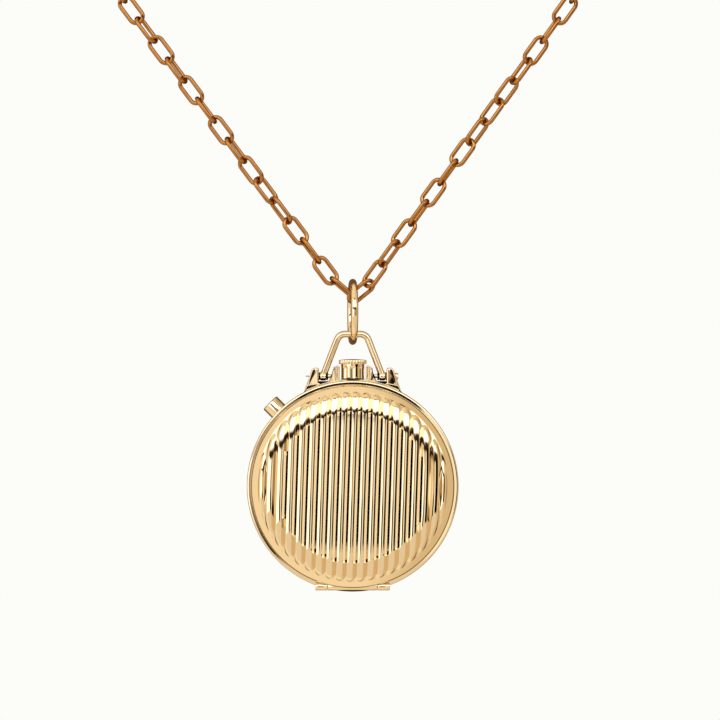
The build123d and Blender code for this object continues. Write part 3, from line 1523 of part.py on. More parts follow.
with BuildPart() as fourth_wheel:
    train_wheel(level_mid, fourth_teeth, fourth_module, fourth_at)
    train_pinion(level_low, fourth_leaves, third_module, fourth_at)
    disc(rear_end, seconds_hand_level + hand_thickness, arbor_radius, fourth_at)
    disc(rear_end, bridge_high, pivot_radius, fourth_at)
finish(fourth_wheel, "fourth_wheel")

with BuildPart() as escape_wheel:
    with BuildSketch(CASE.offset(level_low)):
        with Locations(escape_at):
            tooth_step = 360 / escape_teeth
            tooth_points = []
            for tooth in range(escape_teeth):
                root = tooth * tooth_step
                tooth_points.append(polar(escape_root_radius, root))
                tooth_points.append(polar(escape_radius, root + escape_lean))
                tooth_points.append(polar(escape_radius, root + escape_lean + escape_tip_width))
            Polygon(*tooth_points, align=None)
            Circle(escape_root_radius - escape_rim, mode=Mode.SUBTRACT)
            Circle(escape_hub)
            Rectangle(2 * escape_root_radius - escape_rim, escape_arm)
            Rectangle(escape_arm, 2 * escape_root_radius - escape_rim)
    extrude(amount=wheel_thickness)
    train_pinion(level_mid, escape_leaves, fourth_module, escape_at)
    disc(front_end, rear_end, arbor_radius, escape_at)
    pivots(escape_at)
finish(escape_wheel, "escape_wheel")

# Pallet fork: two arms at the escape wheel and a lever to the balance roller
fork_length = hypot(balance_x - pallet_at[0], balance_y - pallet_at[1]) - roller_radius - roller_gap
with BuildPart() as pallet_fork:
    with BuildSketch(CASE.offset(level_low)):
        with Locations(Location((*pallet_at, 0), (0, 0, escape_line))):
            Circle(pallet_hub)
            Rectangle(pallet_width, 2 * pallet_arm)
            with Locations((fork_length / 2, 0)):
                Rectangle(fork_length, fork_width)
            for side in (1, -1):
                with Locations((-pallet_stub / 2, side * (pallet_arm - pallet_width / 2))):
                    Rectangle(pallet_stub, pallet_width)
    extrude(amount=wheel_thickness)
    disc(plate_back + pivot_length, pallet_cock_rear, pivot_radius, pallet_at)
    disc(front_end, pallet_cock_low + running_gap, pallet_arbor, pallet_at)
finish(pallet_fork, "pallet_fork")

# Balance wheel on its staff, with roller and collet, and the hairspring round the collet
with BuildPart() as balance_wheel:
    with BuildSketch(CASE.offset(balance_low)):
        with Locations(balance_at):
            Circle(balance_radius)
            Circle(balance_radius - balance_rim, mode=Mode.SUBTRACT)
            Circle(balance_hub)
            Rectangle(2 * balance_radius - balance_rim, balance_arm)
    extrude(amount=balance_high - balance_low)
    disc(front_end, rear_end, staff_radius, balance_at)
    disc(front_end, roller_rear, roller_radius, balance_at)
    disc(hairspring_low, hairspring_low - hairspring_height, collet_radius, balance_at)
    pivots(balance_at)
finish(balance_wheel, "balance_wheel")

with BuildPart() as hairspring:
    spiral(hairspring_low, hairspring_low - hairspring_height, hairspring_inner, hairspring_pitch,
           hairspring_thickness, hairspring_turns, balance_at)
finish(hairspring, "hairspring")

# Motion work: cannon pinion, minute wheel and hour wheel
with BuildPart() as cannon_pinion:
    gear(cannon_low, cannon_low + cannon_pinion_height, cannon_leaves, motion_module)
    disc(cannon_low, cannon_pipe_top, cannon_pipe_radius)
    disc(cannon_low, cannon_pipe_top, centre_post_radius + lid_hinge_gap, mode=Mode.SUBTRACT)
finish(cannon_pinion, "cannon_pinion")

minute_phase = mesh_phase(minute_teeth, cannon_leaves, minute_wheel_angle)
hour_phase = mesh_phase(hour_teeth, minute_leaves, minute_wheel_angle + 180) + 180
with BuildPart() as minute_wheel:
    gear(minute_wheel_low, minute_pinion_low, minute_teeth, motion_module, minute_at, minute_phase)
    gear(minute_pinion_low, hour_wheel_low + motion_wheel_thickness, minute_leaves, hour_module, minute_at)
    disc(minute_wheel_low, hour_wheel_low + motion_wheel_thickness, minute_stud_radius + lid_hinge_gap,
         minute_at, Mode.SUBTRACT)
finish(minute_wheel, "minute_wheel")

with BuildPart() as hour_wheel:
    gear(hour_wheel_low, hour_wheel_low + motion_wheel_thickness, hour_teeth, hour_module, phase=hour_phase)
    disc(hour_wheel_low, hour_pipe_top, hour_pipe_radius)
    disc(hour_wheel_low, hour_pipe_top, hour_pipe_bore, mode=Mode.SUBTRACT)
finish(hour_wheel, "hour_wheel")
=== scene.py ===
# %% [markdown]
# # A reeded pendant watch on a chain
#
# The object is a small gold hunter-case watch: a drum of a case with a hinged lid front and back,
# a crown and bow at the top, and a cable chain that runs through a round bail ring.
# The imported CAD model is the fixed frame. This lesson dresses it: smooth metal forms where the eye
# rests, and a finish for every solid.

import json
import math

import bmesh
import bpy
from mathutils import Matrix, Vector


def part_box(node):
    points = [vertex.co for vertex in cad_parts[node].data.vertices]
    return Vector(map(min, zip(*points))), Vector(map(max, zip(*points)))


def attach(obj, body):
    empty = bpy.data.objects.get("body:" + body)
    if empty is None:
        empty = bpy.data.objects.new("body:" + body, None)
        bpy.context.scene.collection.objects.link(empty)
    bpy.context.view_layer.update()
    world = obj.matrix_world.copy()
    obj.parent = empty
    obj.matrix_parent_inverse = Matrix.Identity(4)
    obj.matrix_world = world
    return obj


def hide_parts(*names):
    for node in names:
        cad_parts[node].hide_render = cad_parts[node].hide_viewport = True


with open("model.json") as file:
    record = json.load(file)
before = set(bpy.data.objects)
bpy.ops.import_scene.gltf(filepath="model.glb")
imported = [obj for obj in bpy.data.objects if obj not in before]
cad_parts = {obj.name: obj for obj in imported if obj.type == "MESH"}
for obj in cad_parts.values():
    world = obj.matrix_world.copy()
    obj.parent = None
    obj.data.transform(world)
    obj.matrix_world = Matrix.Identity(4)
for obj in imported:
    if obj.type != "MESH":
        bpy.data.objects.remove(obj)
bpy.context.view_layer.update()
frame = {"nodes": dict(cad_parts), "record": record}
print("solids in the frame:", len(frame["nodes"]))

# %% [markdown]
# ## The case's own plane
#
# A watchmaker draws a case flat on the bench: x to the right, y up, and heights above the middle
# of the band. Every piece below is drawn that way in millimetres and then stood up in one step,
# so that its numbers stay readable. The dial tells where the middle of the case is.

# %% From the bench drawing to the hanging watch
MM = 0.001
dial_low, dial_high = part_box("dial")
case_middle_at = (dial_low + dial_high) / 2
case_middle_at.y = 0
STAND_UP = (
    Matrix.Translation(case_middle_at)
    @ Matrix.Scale(MM, 4)
    @ Matrix.Rotation(math.radians(90), 4, "X")
)
print("middle of the case, metres:", [round(value, 5) for value in case_middle_at])

# %% [markdown]
# ## Nodes in one line
#
# A finish is a small graph of shader nodes. One function adds a node, sets its choices and fills or
# links its sockets, so each finish below reads as a short list.

# %% Colour and node helpers


def linear(hex_colour):
    """An sRGB hex colour as linear light."""
    channels = [int(hex_colour[i : i + 2], 16) / 255 for i in (1, 3, 5)]
    return [c / 12.92 if c <= 0.04045 else ((c + 0.055) / 1.055) ** 2.4 for c in channels] + [1.0]


def add_node(tree, kind, inputs=None, **settings):
    """Adds a node, sets its choices, and fills each named socket with a value or a link."""
    node = tree.nodes.new(kind)
    for name, value in settings.items():
        setattr(node, name, value)
    for name, value in (inputs or {}).items():
        if isinstance(value, bpy.types.NodeSocket):
            tree.links.new(value, node.inputs[name])
        else:
            node.inputs[name].default_value = value
    return node


def finish_named(name, shader_inputs, surface=None):
    """A material with one Principled shader. surface(tree) returns more inputs, such as a bump."""
    material = bpy.data.materials.new(name)
    material.use_nodes = True
    tree = material.node_tree
    tree.nodes.clear()
    inputs = dict(shader_inputs)
    if surface:
        inputs.update(surface(tree))
    shader = add_node(tree, "ShaderNodeBsdfPrincipled", inputs)
    add_node(tree, "ShaderNodeOutputMaterial", {"Surface": shader.outputs[0]})
    return material


# %% [markdown]
# ## Gold
#
# The case is pale yellow gold and the chain is redder, with more copper in it. Both are drawn or
# pressed, then buffed on a wheel, which leaves a mirror with faint swirls and slight waves a
# few tenths of a millimetre high in reach. Worn gold dulls in patches, so the roughness drifts a
# little over the surface. A true metal needs no colour pattern: its tint comes from the base colour alone.

# %% Buffed gold


def buffed(wave_mm, wave_height, dull_from, dull_to):
    """Surface of buffed metal: slow waves, fine swirls and patches a little duller."""

    def surface(tree):
        place = add_node(tree, "ShaderNodeTexCoord").outputs["Object"]
        waves = add_node(
            tree, "ShaderNodeTexNoise", {"Vector": place, "Scale": 1 / (wave_mm * MM), "Detail": 2.0}
        )
        swirls = add_node(
            tree, "ShaderNodeTexNoise", {"Vector": place, "Scale": 1 / (0.12 * MM), "Detail": 3.0}
        )
        worn = add_node(tree, "ShaderNodeTexNoise", {"Vector": place, "Scale": 1 / (3.5 * MM), "Detail": 4.0})
        dull = add_node(
            tree,
            "ShaderNodeMapRange",
            {"Value": worn.outputs["Fac"], "From Min": 0.35, "From Max": 0.7, "To Min": dull_from, "To Max": dull_to},
        )
        height = add_node(
            tree,
            "ShaderNodeMath",
            {0: swirls.outputs["Fac"], 1: 0.06, 2: waves.outputs["Fac"]},
            operation="MULTIPLY_ADD",
        )
        bump = add_node(
            tree,
            "ShaderNodeBump",
            {"Height": height.outputs[0], "Strength": 1.0, "Distance": wave_height * MM},
        )
        return {"Roughness": dull.outputs[0], "Normal": bump.outputs[0]}

    return surface


yellow_gold = finish_named(
    "Yellow gold, buffed",
    {"Base Color": linear("#EEDCBC"), "Metallic": 1.0},
    buffed(2.2, 0.005, 0.015, 0.05),
)
rose_gold = finish_named(
    "Rose gold, drawn wire",
    {"Base Color": linear("#B27C44"), "Metallic": 1.0},
    buffed(0.9, 0.012, 0.03, 0.09),
)
print("gold finishes made")

# %% [markdown]
# ## Steel, brass, enamel, glass and ruby
#
# Movement plates are brass, often plated pale and striped by a grinding wheel. Wheels are
# yellow brass, pinions and springs are grey steel, and screws and hands are steel heated until
# an oxide film turns it blue. The dial is fired enamel: glassy, with a very slight orange-peel.

# %% Finishes of the inside


def striped(pitch_mm, height_mm, low, high):
    """Plate striped by a wheel: broad shallow waves across the plate, and fine grit lines."""

    def surface(tree):
        place = add_node(tree, "ShaderNodeTexCoord").outputs["Object"]
        stripes = add_node(
            tree,
            "ShaderNodeTexWave",
            {"Vector": place, "Scale": 1 / (pitch_mm * MM) / 3.2, "Distortion": 0.4, "Detail": 1.0},
            bands_direction="X",
            wave_profile="SAW",
        )
        stretched = add_node(tree, "ShaderNodeMapping", {"Vector": place, "Scale": (1.0, 1.0, 0.06)})
        grit = add_node(
            tree,
            "ShaderNodeTexNoise",
            {"Vector": stretched.outputs[0], "Scale": 1 / (0.06 * MM), "Detail": 2.0},
        )
        height = add_node(
            tree,
            "ShaderNodeMath",
            {0: grit.outputs["Fac"], 1: 0.25, 2: stripes.outputs["Fac"]},
            operation="MULTIPLY_ADD",
        )
        bump = add_node(
            tree, "ShaderNodeBump", {"Height": height.outputs[0], "Strength": 0.9, "Distance": height_mm * MM}
        )
        dull = add_node(
            tree,
            "ShaderNodeMapRange",
            {"Value": grit.outputs["Fac"], "To Min": low, "To Max": high},
        )
        return {"Roughness": dull.outputs[0], "Normal": bump.outputs[0]}

    return surface


def enamelled(tree):
    """Fired enamel: a slow ripple and specks of a slightly warmer white."""
    place = add_node(tree, "ShaderNodeTexCoord").outputs["Object"]
    ripple = add_node(tree, "ShaderNodeTexNoise", {"Vector": place, "Scale": 1 / (1.5 * MM), "Detail": 2.0})
    specks = add_node(tree, "ShaderNodeTexNoise", {"Vector": place, "Scale": 1 / (0.4 * MM), "Detail": 4.0})
    colour = add_node(
        tree,
        "ShaderNodeMix",
        {"Factor": specks.outputs["Fac"], "A": linear("#F4F0E6"), "B": linear("#EDE6D6")},
        data_type="RGBA",
    )
    bump = add_node(
        tree, "ShaderNodeBump", {"Height": ripple.outputs["Fac"], "Strength": 0.6, "Distance": 0.01 * MM}
    )
    return {"Base Color": colour.outputs["Result"], "Normal": bump.outputs[0]}


plated_brass = finish_named(
    "Brass plate, silvered and striped",
    {"Base Color": linear("#DCD3BC"), "Metallic": 1.0},
    striped(1.6, 0.02, 0.22, 0.34),
)
wheel_brass = finish_named(
    "Wheel brass, gilded",
    {"Base Color": linear("#E3BE73"), "Metallic": 1.0},
    buffed(0.5, 0.003, 0.18, 0.3),
)
spring_steel = finish_named(
    "Spring steel, polished",
    {"Base Color": linear("#C9CACC"), "Metallic": 1.0},
    buffed(0.6, 0.003, 0.14, 0.26),
)
blued_steel = finish_named(
    "Screw steel, heat blued",
    {"Base Color": linear("#27408F"), "Metallic": 1.0},
    buffed(0.4, 0.002, 0.12, 0.22),
)
dial_enamel = finish_named("Dial enamel, fired", {"Roughness": 0.12, "IOR": 1.52}, enamelled)
print_black = finish_named(
    "Dial print, black",
    {"Base Color": linear("#17181B")},
    buffed(0.3, 0.002, 0.3, 0.45),
)
watch_glass = finish_named(
    "Watch glass, polished",
    {
        "Base Color": linear("#FCFDFD"),
        "Roughness": 0.01,
        "IOR": 1.5,
        "Transmission Weight": 1.0,
    },
)
bearing_ruby = finish_named(
    "Ruby bearing, polished",
    {"Base Color": linear("#B3123B"), "IOR": 1.77, "Coat Weight": 0.6},
    buffed(0.3, 0.001, 0.04, 0.08),
)

# Near-black metal for pieces laid into gaps: painted shade, so that a gap reads as deep, not a tarnish the gold has.
painted_shade_black = finish_named(
    "Recess fill, black painted shade",
    {"Base Color": linear("#16100A"), "Metallic": 1.0},
    buffed(0.5, 0.003, 0.35, 0.5),
)

node_finishes = {
    "yellow_gold": yellow_gold,
    "rose_gold": rose_gold,
    "steel": spring_steel,
    "blued_steel": blued_steel,
    "brass": wheel_brass,
    "glass": watch_glass,
    "dial_white": dial_enamel,
    "black_print": print_black,
    "ruby": bearing_ruby,
}
striped_nodes = ("main_plate", "barrel_bridge", "train_bridge", "balance_cock", "pallet_cock")
for subpart in frame["record"]["subparts"]:
    cad_node = frame["nodes"][subpart["node"]]
    cad_node.data.materials.clear()
    striped_here = subpart["node"] in striped_nodes
    cad_node.data.materials.append(plated_brass if striped_here else node_finishes[subpart["material_slot"]])

# %% [markdown]
# ## Three ways to make metal
#
# Most of a watch is turned: an outline spun about an axis. Flat pieces are sawn from plate and have
# their edges eased. Rings, links and the bow are wire: a round section that runs straight or is
# bent round a former. Each way is one short function, and a last one finishes a piece, hangs it on
# its body and says which solid it stands for.

# %% Turned work


def turned(bm, outline, steps, where=None, closed=False):
    """Spins an outline of (reach, height) points about the upright axis and puts it where told."""
    old = set(bm.verts)
    points = [bm.verts.new((reach, 0, height)) for reach, height in outline]
    pairs = list(zip(points, points[1:])) + ([(points[-1], points[0])] if closed else [])
    edges = [bm.edges.new(pair) for pair in pairs]
    bmesh.ops.spin(
        bm,
        geom=points + edges,
        cent=(0, 0, 0),
        axis=(0, 0, 1),
        angle=math.tau,
        steps=steps,
        use_merge=True,
    )
    fresh = [vert for vert in bm.verts if vert not in old]
    bmesh.ops.remove_doubles(bm, verts=fresh, dist=1e-4)
    fresh = [vert for vert in bm.verts if vert not in old]
    if where is not None:
        bmesh.ops.transform(bm, matrix=where, verts=fresh)
    return fresh


def aimed(start, direction):
    """The place of a turned piece that starts at a point and runs in a direction."""
    return Matrix.Translation(start) @ Vector(direction).to_track_quat("Z", "Y").to_matrix().to_4x4()


def rod(bm, start, end, radius, edge, steps=48):
    """A turned rod between two points, its ends eased."""
    start, end = Vector(start), Vector(end)
    length = (end - start).length
    ease = edge * 0.3
    outline = [
        (0, 0),
        (radius - edge, 0),
        (radius - ease, ease),
        (radius, edge),
        (radius, length - edge),
        (radius - ease, length - ease),
        (radius - edge, length),
        (0, length),
    ]
    return turned(bm, outline, steps, aimed(start, end - start))


# %% Sawn plate


def plate(bm, outline, low, high, corner, edge):
    """A piece sawn from plate: its corners are rounded in the flat, then both faces' edges eased."""
    before = set(bm.faces)
    corners = [bm.verts.new((x, y, low)) for x, y in outline]
    bm.faces.new(corners)
    if corner:
        bmesh.ops.bevel(bm, geom=corners, offset=corner, segments=5, affect="VERTICES", profile=0.5, material=-1)
    face = max(set(bm.faces) - before, key=lambda flat: flat.calc_area())
    raised = bmesh.ops.extrude_face_region(bm, geom=[face])["geom"]
    top = [item for item in raised if isinstance(item, bmesh.types.BMVert)]
    bmesh.ops.translate(bm, vec=(0, 0, high - low), verts=top)
    bottom_edges = list(face.edges)
    top_face = next(item for item in raised if isinstance(item, bmesh.types.BMFace))
    if edge:
        bmesh.ops.bevel(
            bm,
            geom=bottom_edges + list(top_face.edges),
            offset=edge,
            segments=3,
            affect="EDGES",
            profile=0.5,
            material=-1,
        )


# %% Wire


def wire(bm, start, direction, radius, moves, sides=20, closed=False):
    """A round wire: straight runs, and bends of a number of steps round a centre and an axis."""
    made = bmesh.ops.create_circle(bm, cap_ends=False, segments=sides, radius=radius)
    ring = made["verts"]
    first = list(ring)
    bmesh.ops.transform(bm, matrix=aimed(start, direction), verts=ring)
    edges = list({edge for vert in ring for edge in vert.link_edges})
    old = set(bm.verts) - set(ring)
    for move in moves:
        if move[0] == "run":
            last = bmesh.ops.extrude_edge_only(bm, edges=edges)["geom"]
            verts = [item for item in last if isinstance(item, bmesh.types.BMVert)]
            bmesh.ops.translate(bm, vec=move[1], verts=verts)
        else:
            _, centre, axis, angle, steps = move
            last = bmesh.ops.spin(
                bm,
                geom=edges + list({vert for edge in edges for vert in edge.verts}),
                cent=centre,
                axis=axis,
                angle=math.radians(angle),
                steps=steps,
                use_merge=False,
            )["geom_last"]
        edges = [item for item in last if isinstance(item, bmesh.types.BMEdge)]
    if closed:
        fresh = [vert for vert in bm.verts if vert not in old]
        bmesh.ops.remove_doubles(bm, verts=fresh, dist=1e-3)
    else:
        for end in (first, {vert for edge in edges for vert in edge.verts}):
            bmesh.ops.contextual_create(bm, geom=list(end))
    return [vert for vert in bm.verts if vert not in old]


# %% Cut away, and finish


def as_object(bm, name):
    """A bmesh as a plain object, still in bench millimetres."""
    mesh = bpy.data.meshes.new(name)
    bm.to_mesh(mesh)
    bm.free()
    item = bpy.data.objects.new(name, mesh)
    bpy.context.scene.collection.objects.link(item)
    return item


def cut_away(bm, tool):
    """Cuts the tool's solid out of the piece, and returns the piece that is left."""
    for part in (bm, tool):
        bmesh.ops.remove_doubles(part, verts=part.verts, dist=1e-4)
        bmesh.ops.recalc_face_normals(part, faces=part.faces)
    work, cutter = as_object(bm, "work"), as_object(tool, "tool")
    saw = work.modifiers.new("saw", "BOOLEAN")
    saw.operation = "DIFFERENCE"
    saw.solver = "EXACT"
    saw.object = cutter
    result = work.evaluated_get(bpy.context.evaluated_depsgraph_get()).to_mesh()
    left = bmesh.new()
    left.from_mesh(result)
    for item in (work, cutter):
        mesh = item.data
        bpy.data.objects.remove(item)
        bpy.data.meshes.remove(mesh)
    return left


def hang(name, bm, finish, body, stands_for=(), crease=32):
    """Finishes a piece: closed, facing out, smooth but for its creases, stood up and on its body."""
    bmesh.ops.remove_doubles(bm, verts=bm.verts, dist=1e-4)
    bmesh.ops.recalc_face_normals(bm, faces=bm.faces)
    for face in bm.faces:
        face.smooth = True
    for edge in bm.edges:
        edge.smooth = len(edge.link_faces) == 2 and edge.calc_face_angle() < math.radians(crease)
    bm.transform(STAND_UP)
    piece = as_object(bm, name)
    piece.data.materials.append(finish)
    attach(piece, body)
    if stands_for:
        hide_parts(*stands_for)
    print(f"{name}: {len(piece.data.polygons)} faces, on {body}")
    return piece


# %% [markdown]
# ## The reeded lid
#
# The real lid is a thin disc of gold pressed between dies: nineteen upright reeds inside a smooth
# rolled shoulder. It could be sculpted, or cut from a solid, but a pressed sheet is a height over a
# flat plan, so a grid is laid over the round field and each point is lifted. The ground is a smooth
# dome that rolls over to the rim, and the reeds stand on it. A reed is measured by the distance from
# its own line, sideways and past its end alike, which gives it a round end. Its back is an arc and its
# flanks are straight: two flanks that face each other at this slope mirror the dark side of the room
# back at the eye, and draw the black line beside each reed. The field's edge is then extruded outward,
# round the rim, and back under as the inner wall.

# %% Height of the lid
lid_reach, shoulder_reach, shoulder_foot = 15.36, 10.36, 2.3
crest_rise, rim_rise, roll_from = 2.463, 1.94, 11.2
reed_pitch, reed_radius, reed_flat, flank_slope = 1.555, 0.95, 0.43, 1.4
lid_crown, field_round, field_reach, reed_end = 5.2, 133.0, 14.6, 14.35
reed_lean = math.radians(-1.9)


def shoulder_height(reach, rise):
    """Height of a rolled shoulder at a reach from the middle."""
    over = max(0.0, reach - shoulder_reach) / (lid_reach - shoulder_reach)
    return shoulder_foot + rise * math.sqrt(max(0.0, 1 - over * over))


def reed_depth(away):
    """How far a point lies under the crest: a round back, then a straight flank to the valley."""
    on_back = min(away, reed_flat)
    depth = reed_radius - math.sqrt(reed_radius**2 - on_back**2)
    return depth + (away - on_back) * flank_slope


valley = reed_depth(reed_pitch / 2)


def lid_height(x, y):
    """A smooth domed rim, on which the reeds stand with round ends."""
    reach = math.hypot(x, y)
    if reach > roll_from:
        crest, ground = shoulder_height(reach, crest_rise), shoulder_height(reach, rim_rise)
    else:
        crest = lid_crown - reach * reach / (2 * field_round)
        ground = crest - valley
    across = ((x / reed_pitch + 0.5) % 1.0 - 0.5) * reed_pitch
    past_end = max(0.0, reach - reed_end + reed_pitch / 2)
    away = min(reed_pitch / 2, math.hypot(across, past_end))
    return ground + (crest - ground) * (1 - reed_depth(away) / valley)


# %% Cover shell


stations = (0.0, 0.1, 0.2, 0.3, 0.38, 0.43, 0.48, 0.63, 0.7775)


def across_lid(column):
    """Where a column of the grid lies: eight to a crest's side, closer together at its flank."""
    pitch_count, rest = divmod(abs(column) + 8, 16)
    offset = stations[rest - 8] if rest >= 8 else -stations[8 - rest]
    return math.copysign(pitch_count * reed_pitch + offset, column) if column else 0.0


def cover_shell(columns=298, rows=150):
    """The pressed shell of a lid, front side up, as a closed thin wall."""
    bm = bmesh.new()
    bmesh.ops.create_grid(bm, x_segments=columns, y_segments=rows, size=1)
    for vert in bm.verts:
        column, v = round(vert.co.x * columns / 2), vert.co.y
        x = across_lid(column)
        span = math.sqrt(field_reach**2 - x * x)
        y = math.copysign(1 - (1 - abs(v)) ** 1.5, v) * span
        if abs(column) == columns // 2:
            x = math.copysign(math.sqrt(field_reach**2 - y * y), column)
        vert.co = (x, y, lid_height(x, y))
    edges = [edge for edge in bm.edges if edge.is_boundary]
    cosine = (field_reach - shoulder_reach) / (lid_reach - shoulder_reach)
    start = math.acos(cosine)
    path = []
    for step in range(1, 11):
        turn = start * (1 - step / 10)
        path.append(
            (
                shoulder_reach + (lid_reach - shoulder_reach) * math.cos(turn),
                shoulder_foot + rim_rise * math.sin(turn),
            )
        )
    path += [(15.36, 2.05), (15.345, 2.012), (15.31, 2.0), (14.91, 2.0), (14.875, 2.012), (14.86, 2.05)]
    for step in range(0, 8):
        turn = math.radians(33.8 * step / 7)
        path.append((10.36 + 4.5 * math.cos(turn), 2.3 + 1.75 * math.sin(turn)))
    path += [(13.6, 3.4), (12.6, 3.62), (11.0, 3.85), (9.0, 4.05), (6.5, 4.2), (4.0, 4.28), (1.5, 4.33)]
    for reach, height in path:
        made = bmesh.ops.extrude_edge_only(bm, edges=edges)["geom"]
        edges = [item for item in made if isinstance(item, bmesh.types.BMEdge)]
        for vert in [item for item in made if isinstance(item, bmesh.types.BMVert)]:
            grow = reach / math.hypot(vert.co.x, vert.co.y)
            vert.co = (vert.co.x * grow, vert.co.y * grow, height)
    rim = list({vert for edge in edges for vert in edge.verts})
    bmesh.ops.pointmerge(bm, verts=rim, merge_co=(0, 0, 4.34))
    bmesh.ops.rotate(bm, cent=(0, 0, 0), matrix=Matrix.Rotation(reed_lean, 3, "Z"), verts=bm.verts)
    return bm


# %% [markdown]
# ## Hinges
#
# Each lid turns on a pin through knuckles: one long knuckle on the lid, and one short at each end
# on the band. The knuckles are turned rods. Room for the band's knuckles is cut out of the lid's
# rim, as a file would.

# %% Lids with their knuckles
hinge_y, band_half = -15.12, 1.9
knuckle_radius, lid_knuckle, band_knuckle = 0.6, 3.75, 5.6


def lid_with_knuckle():
    """The shell, with room for the band's knuckles, and its own knuckle."""
    tool = bmesh.new()
    for side in (1, -1):
        rod(
            tool,
            (side * lid_knuckle, hinge_y, band_half),
            (side * (band_knuckle + 0.05), hinge_y, band_half),
            knuckle_radius + 0.05,
            0.01,
            40,
        )
    shell = cut_away(cover_shell(), tool)
    rod(shell, (-lid_knuckle, hinge_y, band_half), (lid_knuckle, hinge_y, band_half), knuckle_radius, 0.08, 40)
    return shell


front = lid_with_knuckle()
hang("reeded_lid", front, yellow_gold, "front_lid", ("lid",))

back = lid_with_knuckle()
bmesh.ops.scale(back, vec=(1, 1, -1), verts=back.verts)
lip = [(-1.5, 15.2), (1.5, 15.2), (1.1, 15.68), (-1.1, 15.68)]
plate(back, lip, -2.35, -2.02, 0.12, 0.08)
hang("reeded_back", back, yellow_gold, "back", ("back_cover",))

# %% [markdown]
# ## The band
#
# The middle of the case is a turned ring. It carries the dial on an inner step, and at six o'clock
# it is filed down so that the lids' knuckles can turn. The pusher has its own round hole.

# %% Case band
half_past_ten = Vector((math.cos(math.radians(135)), math.sin(math.radians(135)), 0))
band = bmesh.new()
band_outline = [
    (13.0, 0.7),
    (13.0, 1.2),
    (13.6, 1.2),
    (13.6, 1.86),
    (13.64, 1.9),
    (15.7, 1.9),
    (15.82, 1.875),
    (15.91, 1.815),
    (15.975, 1.72),
    (16.0, 1.6),
    (16.0, -1.6),
    (15.975, -1.72),
    (15.91, -1.815),
    (15.82, -1.875),
    (15.7, -1.9),
    (14.14, -1.9),
    (14.1, -1.86),
    (14.1, 0.7),
]
turned(band, band_outline, 256, closed=True)
hole = bmesh.new()
rod(hole, half_past_ten * 14.5, half_past_ten * 18, 1.47, 0.01, 48)
band = cut_away(band, hole)
stem_hole = bmesh.new()
rod(stem_hole, half_past_ten * 13, half_past_ten * 15, 0.56, 0.01, 32)
band = cut_away(band, stem_hole)
for face in (1, -1):
    step = bmesh.new()
    bmesh.ops.create_cube(step, size=1)
    bmesh.ops.scale(step, vec=(2 * (lid_knuckle + 0.03), 3.0, 3.0), verts=step.verts)
    bmesh.ops.translate(step, vec=(0, hinge_y - 1.5, face * (1.15 + 1.5)), verts=step.verts)
    band = cut_away(band, step)
    room = bmesh.new()
    knuckle_gap = lid_knuckle + 0.03
    rod(room, (-knuckle_gap, hinge_y, face * band_half), (knuckle_gap, hinge_y, face * band_half), 0.65, 0.01, 40)
    band = cut_away(band, room)
for face in (1, -1):
    for side in (1, -1):
        rod(
            band,
            (side * (lid_knuckle + 0.03), hinge_y, face * band_half),
            (side * band_knuckle, hinge_y, face * band_half),
            knuckle_radius,
            0.08,
            40,
        )
hang("case_band", band, yellow_gold, "case", ("case_middle",))

# %% [markdown]
# ## Lugs and their pad
#
# A saddle is soldered across the top of the band. It has two ears at each side, which hold the bow's
# screws between them, and a beaded rib stands on each inner ear beside the crown.

# %% Lug plate
lugs = bmesh.new()
pad = []
for step in range(25):
    angle = math.radians(64 + 52 * step / 24)
    pad.append((16.16 * math.cos(angle), 16.16 * math.sin(angle)))
for step in range(25):
    angle = math.radians(116 - 52 * step / 24)
    pad.append((15.9 * math.cos(angle), 15.9 * math.sin(angle)))
plate(lugs, pad, -1.25, 1.25, 0, 0.08)
for side in (1, -1):
    ear = [(7.36, 14.3), (6.1, 17.87), (5.15, 17.87), (5.15, 15.1)]
    plate(lugs, [(side * x, y) for x, y in ear][::side], -1.08, 1.08, 0.3, 0.2)
    foot = [(7.45, 14.15), (6.9, 15.25), (5.05, 15.6), (4.9, 15.3)]
    plate(lugs, [(side * x, y) for x, y in foot][::side], -1.2, 1.2, 0.12, 0.1)
    inner = [(3.72, 15.75), (3.12, 16.7), (3.0, 17.95), (2.7, 18.1), (2.55, 15.9)]
    plate(lugs, [(side * x, y) for x, y in inner][::side], -1.0, 1.0, 0.14, 0.12)
    rib = [(2.62, 16.0), (2.62, 18.2), (2.0, 18.2), (2.0, 16.0)]
    plate(lugs, [(side * x, y) for x, y in rib][::side], -1.0, 0.98, 0.2, 0.16)
    for bead in range(7):
        for x in (2.13, 2.49):
            made = bmesh.ops.create_icosphere(lugs, subdivisions=2, radius=0.13)
            bmesh.ops.translate(lugs, vec=(side * x, 16.33 + bead * 0.28, 0.94), verts=made["verts"])
hang("lug_saddle", lugs, yellow_gold, "case", ("lug_plate",))

# %% Bow screws
screws = bmesh.new()
slots = bmesh.new()
for side in (1, -1):
    rod(screws, (side * 2.4, 16.6, 0), (side * 6.4, 16.6, 0), 0.28, 0.02, 24)
    rod(screws, (side * 6.3, 16.6, 0), (side * 6.9, 16.6, 0), 0.5, 0.1, 40)
    slit = bmesh.ops.create_cube(slots, size=1)["verts"]
    bmesh.ops.scale(slots, vec=(0.5, 0.16, 2.0), verts=slit)
    bmesh.ops.translate(slots, vec=(side * 6.88, 16.6, 0), verts=slit)
screws = cut_away(screws, slots)
hang("bow_screw_pair", screws, yellow_gold, "case", ("bow_screws",))
